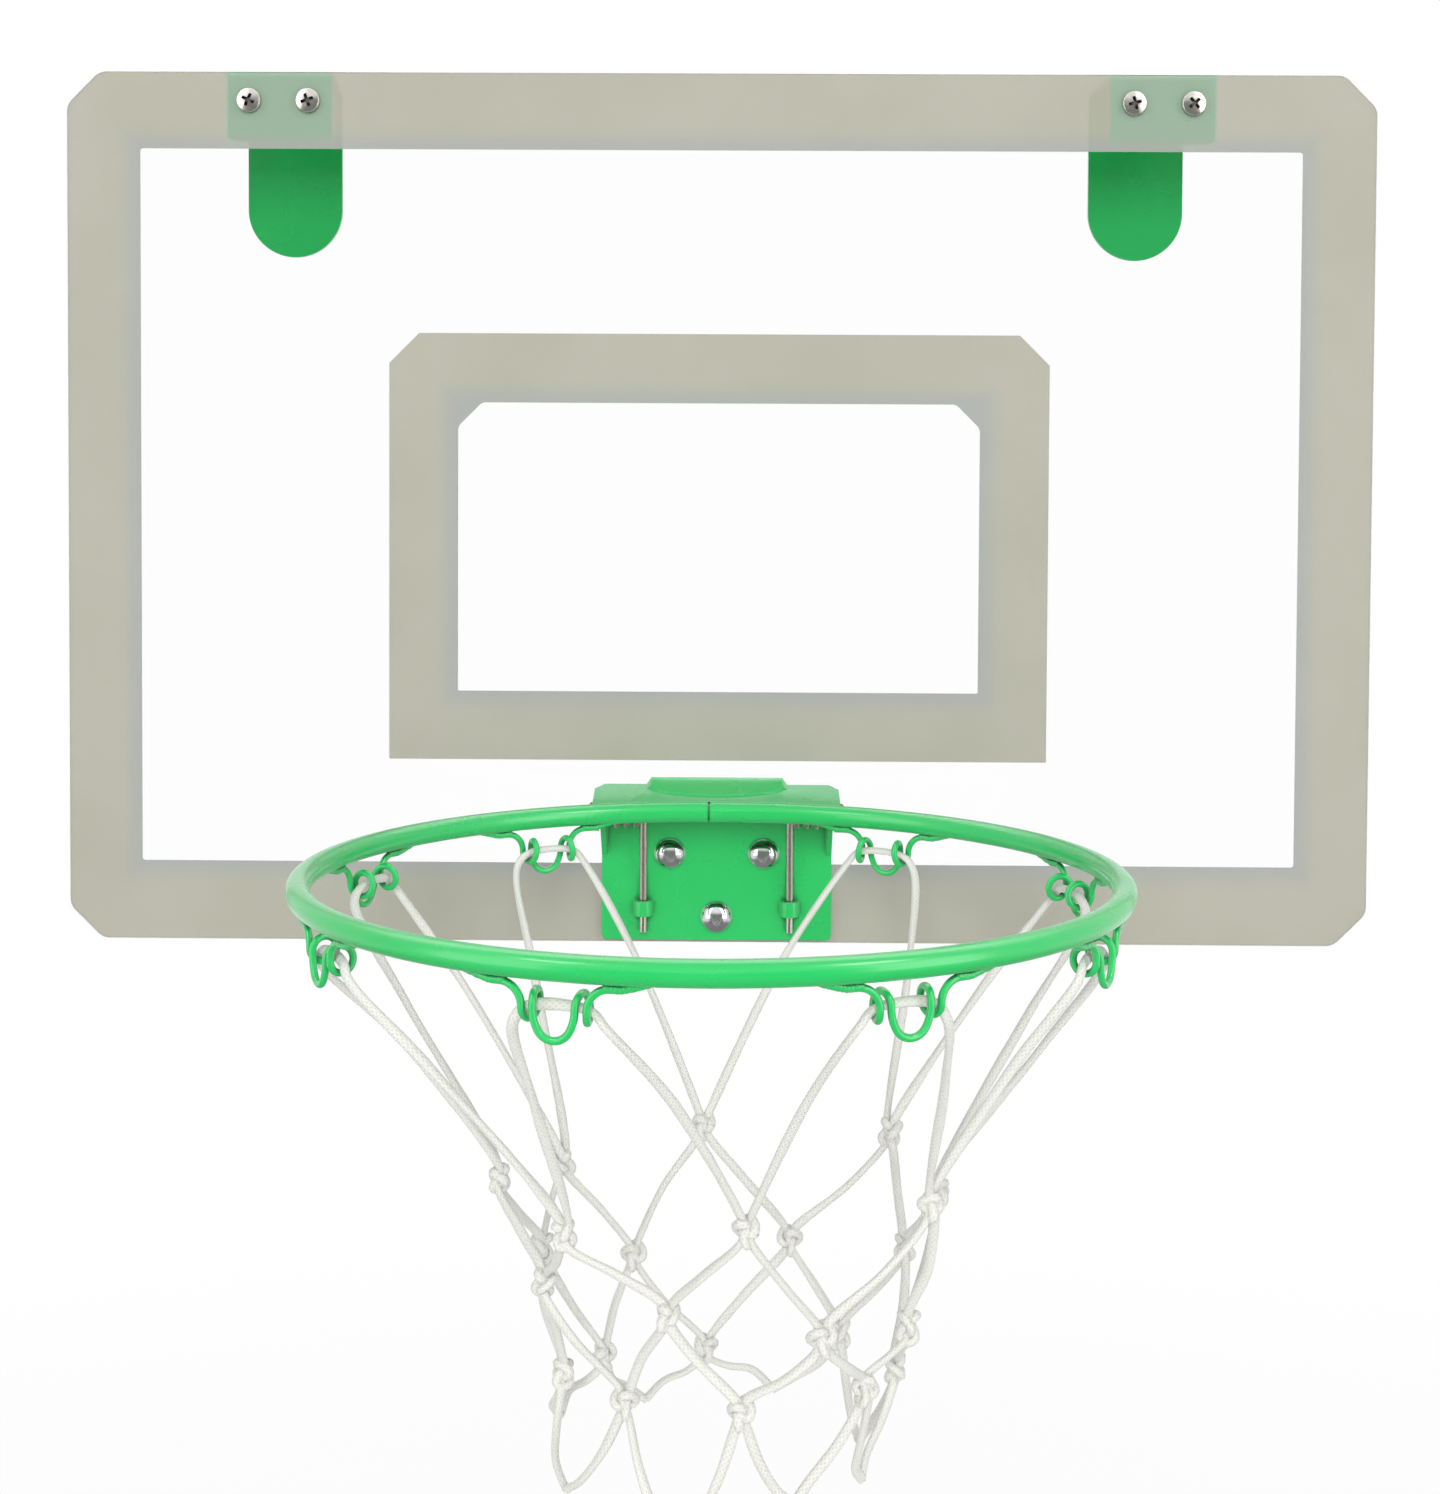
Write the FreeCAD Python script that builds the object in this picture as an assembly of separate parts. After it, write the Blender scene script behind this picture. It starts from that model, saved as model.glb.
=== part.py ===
import FreeCAD, Part
import math
import os
from FreeCAD import Vector

# Mini basketball goal that hangs over the top of a door: clear board, hooks, sprung rim and net.
# Millimetres, +Z up, the front faces -Y and +X is to the right seen from the front.
# The origin lies midway between the hooks, on the door's top edge and front face: the undersides of
# the hook straps are at Z = 0 and the backs of the hook flanges at Y = 0.

# Clearances shared by the pieces
cut_overrun = 1.0        # how far a cutting tool runs past the faces that it opens
hole_clearance = 0.3     # radial room round a fastener in a drilled hole
thread_fit = 0.05        # radial room of a screw in its tapped hole or nut
running_fit = 0.05       # radial room of the hinge pin in the moving ears
weld_gap = 0.02          # pieces that are welded together lie this close
side_play = 0.3          # room beside pieces that turn past each other
straight_share = 1e-6    # a path that turns by less than this share of its length is drawn straight

# Clear board and the two printed films on its front
board_width = 457.2
board_height = 304.8
board_thick = 3.0
board_corner_leg = 11.5
board_corner_round = 6.0
print_thick = 0.3
print_margin = 0.2
border_side = 25.7
border_top = 26.7
border_bottom = 27.8
border_window_round = 1.0
target_width = 231.2
target_height = 149.8
target_band = 24.2
target_above_bottom = 64.3
target_corner_leg = 10.5
target_corner_round = 0.5
target_window_leg = 8.4
target_window_round = 3.0

# Door hooks, bent from strip
hook_inset = 74.3        # from the board's side edge to the middle of the nearer hook flange
hook_thick = 2.0
hook_bend = 1.5          # inside radius of both bends
hook_flange_width = 37.0
hook_flange_drop = 23.5
hook_flange_round = 2.0
hook_tongue_width = 34.5
hook_tongue_drop = 61.0
hook_tongue_shift = 2.4  # the tongue stands this far to the left of its flange
door_gap = 36.0          # takes a 35 mm door

# Pan-head screws that hold each hook
screw_spacing = 20.6
screw_below_top = 10.0
screw_diameter = 4.0
screw_head_diameter = 8.4
screw_head_height = 2.8
screw_head_round = 0.5
screw_crown_rise = 0.9   # of the domed top above the head's rim
screw_turns = (25.0, 70.0, -15.0, 50.0)  # degrees, as each screw came to rest
recess_width = 1.1
recess_span = 4.6
recess_depth = 1.6

# Mounting plate, bolted to the bottom of the board
plate_width = 80.8
plate_thick = 2.0
plate_above_bottom = 56.0
plate_foot = 1.2         # from the board's bottom edge up to the plate's bottom edge
plate_round = 2.0
fixed_ear_radius = 4.8
fixed_ear_root = 16.0    # how far below the pin the ear runs out into the plate
bridge_above_bottom = 10.0
bridge_height = 5.5
bridge_wall = 1.8

# Dome bolts, washers and thin nuts of the mounting plate
bolt_spacing = 33.0
bolt_upper_above_bottom = 31.7
bolt_lower_above_bottom = 9.3
bolt_diameter = 6.0
bolt_head_diameter = 11.4
bolt_head_height = 3.2
bolt_end = 0.6
washer_diameter = 12.0
washer_thick = 1.2
nut_flats = 10.0
nut_height = 3.2

# Hinge pin and its push-on cap
pin_reach = 12.0         # from the board's front to the pin's axis
pin_below_ring = 2.6
pin_diameter = 4.0
pin_head_diameter = 8.0
pin_head_height = 1.6
cap_height = 1.4
pin_end = 0.5

# Torsion springs on the pin
spring_wire = 2.6
spring_coil_diameter = 7.6   # at the middle of the wire
spring_turns = 3
spring_gap = 0.7             # between turns
spring_leg_stub = 4.3        # foot of the long leg above the board's bottom edge
spring_leg_bend = 8.0
spring_short_leg = 9.0
spring_room = 0.3            # round the wire in its bridge, beside the plates and under the rim plate

# Ring and the plate that carries it
ring_inner_diameter = 228.6
ring_tube = 7.0
ring_reach = 22.0            # from the board's front to the ring's nearest centreline
ring_above_bottom = 49.8
seam_left = 2.5              # the butt seam lies this far left of the middle
seam_width = 0.9
seam_depth = 0.8
rim_plate_thick = 1.8
rim_plate_tilt = 11.0        # degrees, down towards the ring
rim_plate_rear_width = 78.4
rim_plate_stop_gap = 0.2     # rear edge to mounting plate, where the rim rests
rim_plate_front = 19.0       # blank in front of the pin, before the ring trims it
rim_ear_radius = 6.0
ear_front_share = 0.6        # of the blank in front of the pin, where the ear meets the plate
pad_width = 50.6
pad_depth = 12.8
pad_rise = 2.6               # at its rear
pad_front_share = 0.58       # of that rise, left at its front
pad_round = 5.0
pad_side_draft = 2.4         # how far its sides lean in
pad_front_draft = 1.0

# Net clips, each bent from one wire with two eyes
clip_wire = 2.0
clip_angles = (18.0, 61.0, 119.0, 157.0, 209.0, 252.0, 295.0, 334.0)
clip_span = 34.0
clip_eye_diameter = 7.0      # at the middle of the wire
clip_eye_pitch = 3.0
clip_eye_drop = 6.7          # eye's middle below the ring's underside
clip_loop_half = 5.5         # half the width of the middle loop
clip_loop_drop = 14.4        # its lowest wire below the ring's underside

# Knotted net
net_cord = 2.8
net_knot_diameter = 7.2
knot_port_share = 0.43       # of the knot's radius: how far from its middle each cord enters it
net_row_drops = (83.0, 110.0, 136.0)
net_row_radii = (66.0, 55.0, 50.0)
net_end_drop = 170.0
net_end_radius = 48.5
net_end_bend = 5.0
net_seat_gap = 0.3           # between a cord and the eye that it hangs in
net_shoulder = 4.0           # size of the bend where a cord leaves an eye
net_steep_share = 0.4        # how much steeper than its chord a top cord meets its knot

# Places worked out from the sizes above
hook_spacing = board_width - hook_inset * 2
board_top = hook_thick
board_bottom = board_top - board_height
board_back = -hook_thick
board_front = board_back - board_thick
print_front = board_front - print_thick
plate_front = print_front - plate_thick
ring_radius = ring_inner_diameter / 2 + ring_tube / 2
ring_z = board_bottom + ring_above_bottom
ring_y = board_front - ring_reach - ring_radius
pin_y = board_front - pin_reach
pin_z = ring_z - pin_below_ring
fixed_ear_face = plate_width / 2
rim_ear_inner = fixed_ear_face + side_play
rim_ear_outer = rim_ear_inner + rim_plate_thick
spring_coil_outer = spring_coil_diameter / 2 + spring_wire / 2
rim_plate_lift = spring_coil_outer + spring_room
clip_foot_drop = ring_tube / 2 + weld_gap + clip_wire / 2
bolt_places = (
    (-bolt_spacing / 2, board_bottom + bolt_upper_above_bottom),
    (bolt_spacing / 2, board_bottom + bolt_upper_above_bottom),
    (0, board_bottom + bolt_lower_above_bottom),
)
screw_places = tuple(
    (side * hook_spacing / 2 + step * screw_spacing / 2, board_top - screw_below_top)
    for side in (-1, 1)
    for step in (-1, 1)
)


def line(start, end):
    """Straight edge."""
    return Part.LineSegment(start, end).toShape()


def arc(start, middle, end):
    """Edge of a circle through three points."""
    return Part.Arc(start, middle, end).toShape()


def rounded_wire(points, radii):
    """Closed wire through the points, with each corner rounded by its own radius (0 keeps it sharp)."""
    count = len(points)
    starts = []
    ends = []
    middles = []
    for index in range(count):
        corner = points[index]
        before = (points[index - 1] - corner).normalize()
        after = (points[(index + 1) % count] - corner).normalize()
        half_angle = before.getAngle(after) / 2
        reach = radii[index] / math.tan(half_angle)
        bisector = (before + after).normalize()
        depth = radii[index] / math.sin(half_angle) - radii[index]
        starts.append(corner + before * reach)
        ends.append(corner + after * reach)
        middles.append(corner + bisector * depth)
    edges = []
    for index in range(count):
        if radii[index] > 0:
            edges.append(arc(starts[index], middles[index], ends[index]))
        edges.append(line(ends[index], starts[(index + 1) % count]))
    return Part.Wire(edges)


def prism(points, radii, direction):
    """Solid swept from a rounded outline along a straight direction."""
    return Part.Face(rounded_wire(points, radii)).extrude(direction)


def rod(start, direction, radius, length):
    """Straight round bar."""
    return Part.makeCylinder(radius, length, start, direction)


def arc_from_tangent(start, tangent, end):
    """Edge that leaves start along a tangent and runs to end on one arc, or straight if they line up."""
    chord = end - start
    along = Vector(chord).normalize()
    aside = tangent - along * tangent.dot(along)
    angle = tangent.getAngle(chord)
    if aside.Length < straight_share:
        return line(start, end)
    bulge = Vector(aside).normalize() * (chord.Length / 2 * math.tan(angle / 2))
    return arc(start, start + chord / 2 + bulge, end)


def biarc(start, start_tangent, end, end_tangent):
    """Two arcs that join smoothly and keep the tangents at both ends."""
    chord = end - start
    total = start_tangent + end_tangent
    spread = 2 * (1 - start_tangent.dot(end_tangent))
    lean = chord.dot(total)
    if spread < straight_share:
        reach = chord.dot(chord) / (2 * lean)
    else:
        reach = (math.sqrt(lean * lean + spread * chord.dot(chord)) - lean) / spread
    middle = (start + start_tangent * reach + end - end_tangent * reach) / 2
    first = arc_from_tangent(start, start_tangent, middle)
    back = arc_from_tangent(end, -end_tangent, middle)
    return [first, back]


def smooth_path(stations):
    """Wire through stations, each a point with the direction of travel there."""
    edges = []
    for here, there in zip(stations, stations[1:]):
        edges += biarc(here[0], here[1], there[0], there[1])
    return Part.Wire(Part.__sortEdges__(edges))


def tube(path, start, direction, radius):
    """Round bar swept along a path that leaves its start in the given direction."""
    section = Part.Wire(Part.makeCircle(radius, start, direction))
    return path.makePipeShell([section], True, False)


def ring_point(angle, offset, drop):
    """Point at an angle round the ring, offset outwards from its centreline and dropped below it."""
    reach = ring_radius + offset
    return Vector(reach * math.cos(angle), ring_y + reach * math.sin(angle), ring_z - drop)


def board_outline(inset):
    """Corner points of the board's front outline, drawn in by an inset, at the board's front face."""
    half = board_width / 2 - inset
    top = board_top - inset
    bottom = board_bottom + inset
    leg = board_corner_leg
    flat = (
        (half - leg, top), (half, top - leg), (half, bottom + leg), (half - leg, bottom),
        (leg - half, bottom), (-half, bottom + leg), (-half, top - leg), (leg - half, top),
    )
    return [Vector(x, board_front, z) for x, z in flat]


def drill(shape, places, radius):
    """Cut round holes through a piece, along Y, from in front of the plate to behind the nuts."""
    depth = bolt_tail() + cut_overrun * 2
    for x, z in places:
        shape = shape.cut(rod(Vector(x, plate_front - cut_overrun, z), Vector(0, 1, 0), radius, depth))
    return shape


def backboard():
    """Clear sheet with chamfered corners, drilled for the hook screws and the bracket bolts."""
    outline = board_outline(0)
    sheet = prism(outline, [board_corner_round] * len(outline), Vector(0, board_thick, 0))
    sheet = drill(sheet, screw_places, screw_diameter / 2 + hole_clearance)
    return drill(sheet, bolt_places, bolt_diameter / 2 + hole_clearance)


def border_print():
    """Printed band round the edge of the board."""
    outline = board_outline(print_margin)
    film = prism(outline, [board_corner_round] * len(outline), Vector(0, -print_thick, 0))
    right = board_width / 2 - border_side
    top = board_top - border_top
    bottom = board_bottom + border_bottom
    corners = ((right, top), (right, bottom), (-right, bottom), (-right, top))
    window = [Vector(x, board_front + cut_overrun, z) for x, z in corners]
    depth = Vector(0, -print_thick - cut_overrun * 2, 0)
    film = film.cut(prism(window, [border_window_round] * len(window), depth))
    film = drill(film, screw_places, screw_diameter / 2 + hole_clearance)
    return drill(film, bolt_places, bolt_diameter / 2 + hole_clearance)


def house_outline(half, bottom, top, leg, y):
    """Corner points of a rectangle whose two upper corners are chamfered."""
    flat = (
        (half, bottom), (-half, bottom), (-half, top - leg), (leg - half, top),
        (half - leg, top), (half, top - leg),
    )
    return [Vector(x, y, z) for x, z in flat]


def target_print():
    """Printed shooting frame above the rim."""
    bottom = board_bottom + target_above_bottom
    top = bottom + target_height
    half = target_width / 2
    outer = house_outline(half, bottom, top, target_corner_leg, board_front)
    film = prism(outer, [target_corner_round] * len(outer), Vector(0, -print_thick, 0))
    inner = house_outline(
        half - target_band, bottom + target_band, top - target_band, target_window_leg,
        board_front + cut_overrun,
    )
    radii = [target_corner_round] * 2 + [target_window_round] * 4
    return film.cut(prism(inner, radii, Vector(0, -print_thick - cut_overrun * 2, 0)))


def door_hook(middle):
    """Strip bent over the door: flange behind the board, strap, and a round-ended tongue."""
    outer_bend = hook_bend + hook_thick
    front = -hook_thick
    back = door_gap + hook_thick
    flange_foot = board_top - hook_flange_drop
    tongue_foot = board_top - hook_tongue_drop
    width = hook_flange_width + hook_tongue_width
    side = (
        (front, flange_foot, 0), (0, flange_foot, 0), (0, 0, hook_bend), (door_gap, 0, hook_bend),
        (door_gap, tongue_foot, 0), (back, tongue_foot, 0), (back, board_top, outer_bend),
        (front, board_top, outer_bend),
    )
    points = [Vector(middle - width / 2, y, z) for y, z, _ in side]
    strip = prism(points, [radius for _, _, radius in side], Vector(width, 0, 0))
    flange_half = hook_flange_width / 2
    tongue_half = hook_tongue_width / 2
    tongue_middle = middle - hook_tongue_shift
    taper_start = outer_bend
    taper_end = door_gap - hook_bend
    plan = (
        (middle - flange_half, front - cut_overrun), (middle + flange_half, front - cut_overrun),
        (middle + flange_half, taper_start), (tongue_middle + tongue_half, taper_end),
        (tongue_middle + tongue_half, back + cut_overrun),
        (tongue_middle - tongue_half, back + cut_overrun),
        (tongue_middle - tongue_half, taper_end), (middle - flange_half, taper_start),
    )
    foot = tongue_foot - cut_overrun
    points = [Vector(x, y, foot) for x, y in plan]
    strip = strip.common(prism(points, [0] * len(points), Vector(0, 0, board_top + cut_overrun - foot)))
    strip = strip.common(tongue_keep(tongue_middle, taper_end, back, tongue_foot)
                         .fuse(flange_keep(middle, front, taper_end, flange_foot)))
    places = [(x, z) for x, z in screw_places if abs(x - middle) < hook_flange_width]
    return drill(strip, places, screw_diameter / 2 + thread_fit)


def tongue_keep(middle, start, back, foot):
    """Outline of the tongue seen from the front, with its full-round end."""
    half = hook_tongue_width / 2
    y = start
    low = foot + half
    high = board_top + cut_overrun
    edges = [
        line(Vector(middle + half, y, low), Vector(middle + half, y, high)),
        line(Vector(middle + half, y, high), Vector(middle - half, y, high)),
        line(Vector(middle - half, y, high), Vector(middle - half, y, low)),
        arc(Vector(middle - half, y, low), Vector(middle, y, foot), Vector(middle + half, y, low)),
    ]
    return Part.Face(Part.Wire(edges)).extrude(Vector(0, back + cut_overrun - start, 0))


def flange_keep(middle, front, end, foot):
    """Outline of the flange seen from the front, with its lower corners rounded."""
    half = hook_flange_width + hook_tongue_width
    flange_half = hook_flange_width / 2
    corners = (
        (middle + flange_half, foot), (middle + flange_half, -hook_bend), (middle + half, -hook_bend),
        (middle + half, board_top + cut_overrun), (middle - half, board_top + cut_overrun),
        (middle - half, -hook_bend), (middle - flange_half, -hook_bend), (middle - flange_half, foot),
    )
    points = [Vector(x, front - cut_overrun, z) for x, z in corners]
    radii = [hook_flange_round] + [0] * (len(points) - 2) + [hook_flange_round]
    return prism(points, radii, Vector(0, end - front + cut_overrun, 0))


def hook_screw(x, z, turn):
    """Domed pan-head screw with a cross recess, its end flush with the back of the hook flange."""
    head_radius = screw_head_diameter / 2
    face = print_front - screw_head_height
    rim = face + screw_crown_rise
    crown_radius = (head_radius ** 2 + screw_crown_rise ** 2) / (screw_crown_rise * 2)
    head = Part.makeCylinder(head_radius, screw_head_height, Vector(x, print_front, z), Vector(0, -1, 0))
    head = head.common(Part.makeSphere(crown_radius, Vector(x, face + crown_radius, z)))
    edges = [
        edge for edge in head.Edges
        if edge.BoundBox.YMin > face + screw_crown_rise / 2 and edge.BoundBox.YMax < (rim + print_front) / 2]
    head = head.makeFillet(screw_head_round, edges)
    for size_x, size_z in ((recess_span, recess_width), (recess_width, recess_span)):
        corner = Vector(x - size_x / 2, face - cut_overrun, z - size_z / 2)
        recess = Part.makeBox(size_x, recess_depth + cut_overrun, size_z, corner)
        recess.rotate(Vector(x, 0, z), Vector(0, 1, 0), turn)
        head = head.cut(recess)
    return head.fuse(rod(Vector(x, print_front, z), Vector(0, 1, 0), screw_diameter / 2, -print_front))


def hook_screws():
    """Four screws, two through each hook flange."""
    return Part.makeCompound([hook_screw(x, z, turn) for (x, z), turn in zip(screw_places, screw_turns)])


def fixed_ear(side):
    """Ear of the mounting plate, turned forward at its side to hold the pin."""
    outer = side * fixed_ear_face
    radius = fixed_ear_radius
    low = Vector(outer, plate_front, pin_z - fixed_ear_root)
    edges = [
        line(Vector(outer, plate_front, pin_z + radius), Vector(outer, pin_y, pin_z + radius)),
        arc(
            Vector(outer, pin_y, pin_z + radius), Vector(outer, pin_y - radius, pin_z),
            Vector(outer, pin_y, pin_z - radius)),
        line(Vector(outer, pin_y, pin_z - radius), low),
        line(low, Vector(outer, print_front, pin_z - fixed_ear_root)),
        line(
            Vector(outer, print_front, pin_z - fixed_ear_root),
            Vector(outer, print_front, pin_z + radius)),
        line(
            Vector(outer, print_front, pin_z + radius), Vector(outer, plate_front, pin_z + radius)),
    ]
    return Part.Face(Part.Wire(edges)).extrude(Vector(-side * plate_thick, 0, 0))


def bridge_outline(x, half, crown, base, z):
    """Hoop seen from above: straight sides that stand on a base line, and a round crown."""
    edges = [
        line(Vector(x - half, crown, z), Vector(x - half, base, z)),
        line(Vector(x - half, base, z), Vector(x + half, base, z)),
        line(Vector(x + half, base, z), Vector(x + half, crown, z)),
        arc(Vector(x + half, crown, z), Vector(x, crown - half, z), Vector(x - half, crown, z)),
    ]
    return Part.Face(Part.Wire(edges))


def mounting_plate():
    """Steel plate with forward ears for the pin and two lanced bridges that hold the springs' feet."""
    half = plate_width / 2
    low = board_bottom + plate_foot
    high = board_bottom + plate_above_bottom
    corners = ((half, low), (half, high), (-half, high), (-half, low))
    points = [Vector(x, print_front, z) for x, z in corners]
    plate = prism(points, [plate_round] * len(points), Vector(0, -plate_thick, 0))
    inner_half = spring_wire / 2 + spring_room
    outer_half = inner_half + bridge_wall
    crown = plate_front - inner_half
    foot = board_bottom + bridge_above_bottom
    up = Vector(0, 0, bridge_height)
    for side in (-1, 1):
        x = side * spring_leg_x()
        plate = plate.fuse(fixed_ear(side))
        hoop = bridge_outline(x, outer_half, crown, plate_front + plate_thick / 2, foot)
        slot = bridge_outline(x, inner_half, crown, print_front + cut_overrun, foot)
        plate = plate.fuse(hoop.extrude(up)).cut(slot.extrude(up))
        bore = Vector(side * (half + cut_overrun), pin_y, pin_z)
        plate = plate.cut(rod(bore, Vector(-side, 0, 0), pin_diameter / 2, plate_thick + cut_overrun * 2))
    return drill(plate, bolt_places, bolt_diameter / 2 + hole_clearance).removeSplitter()


def bolt_tail():
    """Length of a bolt from the plate's front to its end behind the nut."""
    return board_back + washer_thick + nut_height + bolt_end - plate_front


def bracket_bolt(x, z):
    """Dome-headed bolt: a cap of a sphere on a plain shank."""
    half = bolt_head_diameter / 2
    sphere_radius = (half * half + bolt_head_height * bolt_head_height) / (2 * bolt_head_height)
    centre_y = plate_front - bolt_head_height + sphere_radius
    ball = Part.makeSphere(sphere_radius, Vector(x, centre_y, z))
    keep = Part.makeCylinder(sphere_radius, bolt_head_height, Vector(x, plate_front, z), Vector(0, -1, 0))
    shank = rod(Vector(x, plate_front, z), Vector(0, 1, 0), bolt_diameter / 2, bolt_tail())
    return ball.common(keep).fuse(shank)


def bracket_bolts():
    """Three bolts that clamp the mounting plate to the board."""
    return Part.makeCompound([bracket_bolt(x, z) for x, z in bolt_places])


def bracket_washers():
    """Flat washers behind the board."""
    washers = []
    for x, z in bolt_places:
        disc = rod(Vector(x, board_back, z), Vector(0, 1, 0), washer_diameter / 2, washer_thick)
        washers.append(drill(disc, [(x, z)], bolt_diameter / 2 + hole_clearance))
    return Part.makeCompound(washers)


def bracket_nuts():
    """Thin hexagon nuts behind the washers."""
    nuts = []
    corner = nut_flats / math.sqrt(3)
    start = board_back + washer_thick
    for x, z in bolt_places:
        points = []
        for index in range(6):
            angle = math.radians(60 * index)
            points.append(Vector(x + corner * math.cos(angle), start, z + corner * math.sin(angle)))
        blank = prism(points, [0] * len(points), Vector(0, nut_height, 0))
        nuts.append(drill(blank, [(x, z)], bolt_diameter / 2 + thread_fit))
    return Part.makeCompound(nuts)


def hinge_pin():
    """Headed pin through the four ears, its head on the left and its plain end on the right."""
    head_face = -rim_ear_outer - side_play
    length = rim_ear_outer + side_play + cap_height + pin_end - head_face
    shank = rod(Vector(head_face, pin_y, pin_z), Vector(1, 0, 0), pin_diameter / 2, length)
    head = rod(Vector(head_face, pin_y, pin_z), Vector(-1, 0, 0), pin_head_diameter / 2, pin_head_height)
    rim = [edge for edge in head.Edges if edge.BoundBox.XMax < head_face - pin_head_height / 2]
    return head.makeChamfer(pin_head_height / 2, rim).fuse(shank).removeSplitter()


def pin_cap():
    """Push-on cap that keeps the pin in its ears."""
    start = Vector(rim_ear_outer + side_play, pin_y, pin_z)
    disc = rod(start, Vector(1, 0, 0), pin_head_diameter / 2, cap_height)
    rim = [edge for edge in disc.Edges if edge.BoundBox.XMin > start.x + cap_height / 2]
    disc = disc.makeChamfer(cap_height / 2, rim)
    return disc.cut(rod(start, Vector(1, 0, 0), pin_diameter / 2 + thread_fit, cap_height + cut_overrun))


def spring_knee():
    """Height and depth of the bend where a long leg leaves its bridge, as Z and Y."""
    return (
        board_bottom + bridge_above_bottom + bridge_height + spring_room,
        plate_front - spring_wire / 2 - spring_room,
    )


def spring_lean():
    """Angle at which a long leg leans forward from its bridge to touch its coil."""
    knee_z, knee_y = spring_knee()
    height = pin_z - knee_z
    depth = knee_y - pin_y
    return math.atan2(depth, height) - math.asin(spring_coil_diameter / 2 / math.hypot(depth, height))


def spring_sweep():
    """Angle that a coil turns through, from its long leg to its short one."""
    return math.radians(90 + rim_plate_tilt) + 2 * math.pi * spring_turns - spring_lean()


def spring_leg_x():
    """Distance of a long leg from the middle, so that its coil ends with room beside the fixed ear."""
    rise = (spring_wire + spring_gap) / (2 * math.pi)
    run = rise * spring_sweep() + spring_wire * rise / math.hypot(rise, spring_coil_diameter / 2)
    return fixed_ear_face - plate_thick - spring_room - spring_wire / 2 - run


def spring_stations():
    """Route of the right-hand spring: foot, bridge, long leg, coil, and short leg under the rim plate."""
    leg_x = spring_leg_x()
    radius = spring_coil_diameter / 2
    knee_z, knee_y = spring_knee()
    foot = Vector(leg_x, knee_y, board_bottom + spring_leg_stub)
    knee = Vector(leg_x, knee_y, knee_z)
    up = Vector(0, 0, 1)
    lean = spring_lean()
    leg_way = Vector(0, -math.sin(lean), math.cos(lean))
    touch = Vector(leg_x, pin_y + radius * math.cos(lean), pin_z + radius * math.sin(lean))
    bend_reach = spring_leg_bend * math.tan(lean / 2)
    stations = [
        (foot, up), (knee - up * bend_reach, up), (knee + leg_way * bend_reach, leg_way), (touch, leg_way),
    ]
    sweep = spring_sweep()
    quarters = math.ceil(sweep / (math.pi / 2))
    rise = (spring_wire + spring_gap) / (2 * math.pi)
    for index in range(1, quarters + 1):
        turned = sweep * index / quarters
        angle = lean + turned
        place = Vector(
            leg_x + rise * turned, pin_y + radius * math.cos(angle), pin_z + radius * math.sin(angle))
        way = Vector(rise, -radius * math.sin(angle), radius * math.cos(angle)).normalize()
        stations.append((place, way))
    last, way = stations[-1]
    flat_way = Vector(0, way.y, way.z).normalize()
    bend = last + way * spring_wire
    stations.append((bend + flat_way * spring_wire, flat_way))
    stations.append((last + flat_way * spring_short_leg + Vector(bend.x - last.x, 0, 0), flat_way))
    return stations


def least_gap(path, wire, turn_length):
    """Smallest clear distance between turns, measured on points along the path."""
    points = path.discretize(Distance=wire / 4)
    skip = int(turn_length / 2 / (wire / 4))
    gap = None
    for index, here in enumerate(points):
        for there in points[index + skip:]:
            distance = here.distanceToPoint(there) - wire
            if gap is None or distance < gap:
                gap = distance
    return gap


def right_spring():
    """Torsion spring of one unbroken wire."""
    stations = spring_stations()
    path = smooth_path(stations)
    gap = least_gap(path, spring_wire, math.pi * spring_coil_diameter)
    print("least gap between spring turns %.2f mm" % gap)
    return tube(path, stations[0][0], stations[0][1], spring_wire / 2)


def left_spring():
    """Mirror image of the right-hand spring."""
    return right_spring().mirror(Vector(0, 0, 0), Vector(1, 0, 0))


def rim_ring():
    """Round ring with a fine butt seam at the back."""
    centre = Vector(0, ring_y, ring_z)
    up = Vector(0, 0, 1)
    ring = Part.makeTorus(ring_radius, ring_tube / 2, centre, up)
    slot = Part.makeBox(
        seam_width, ring_tube * 2, ring_tube * 2,
        Vector(-seam_left - seam_width / 2, ring_y + ring_radius - ring_tube, ring_z - ring_tube))
    core = Part.makeTorus(ring_radius, ring_tube / 2 - seam_depth, centre, up)
    return ring.cut(slot.cut(core))


def rim_ear(side, front, rear):
    """Side ear of the rim plate, in the plate's own frame with the pin's axis at the origin."""
    outer = side * rim_ear_outer
    high = rim_plate_lift + rim_plate_thick
    radius = rim_ear_radius
    edges = [
        line(Vector(outer, rear, high), Vector(outer, -front, high)),
        line(Vector(outer, -front, high), Vector(outer, -front, rim_plate_lift)),
        line(Vector(outer, -front, rim_plate_lift), Vector(outer, -radius, 0)),
        arc(Vector(outer, -radius, 0), Vector(outer, 0, -radius), Vector(outer, radius, 0)),
        line(Vector(outer, radius, 0), Vector(outer, rear, high)),
    ]
    return Part.Face(Part.Wire(edges)).extrude(Vector(-side * rim_plate_thick, 0, 0))


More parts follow.
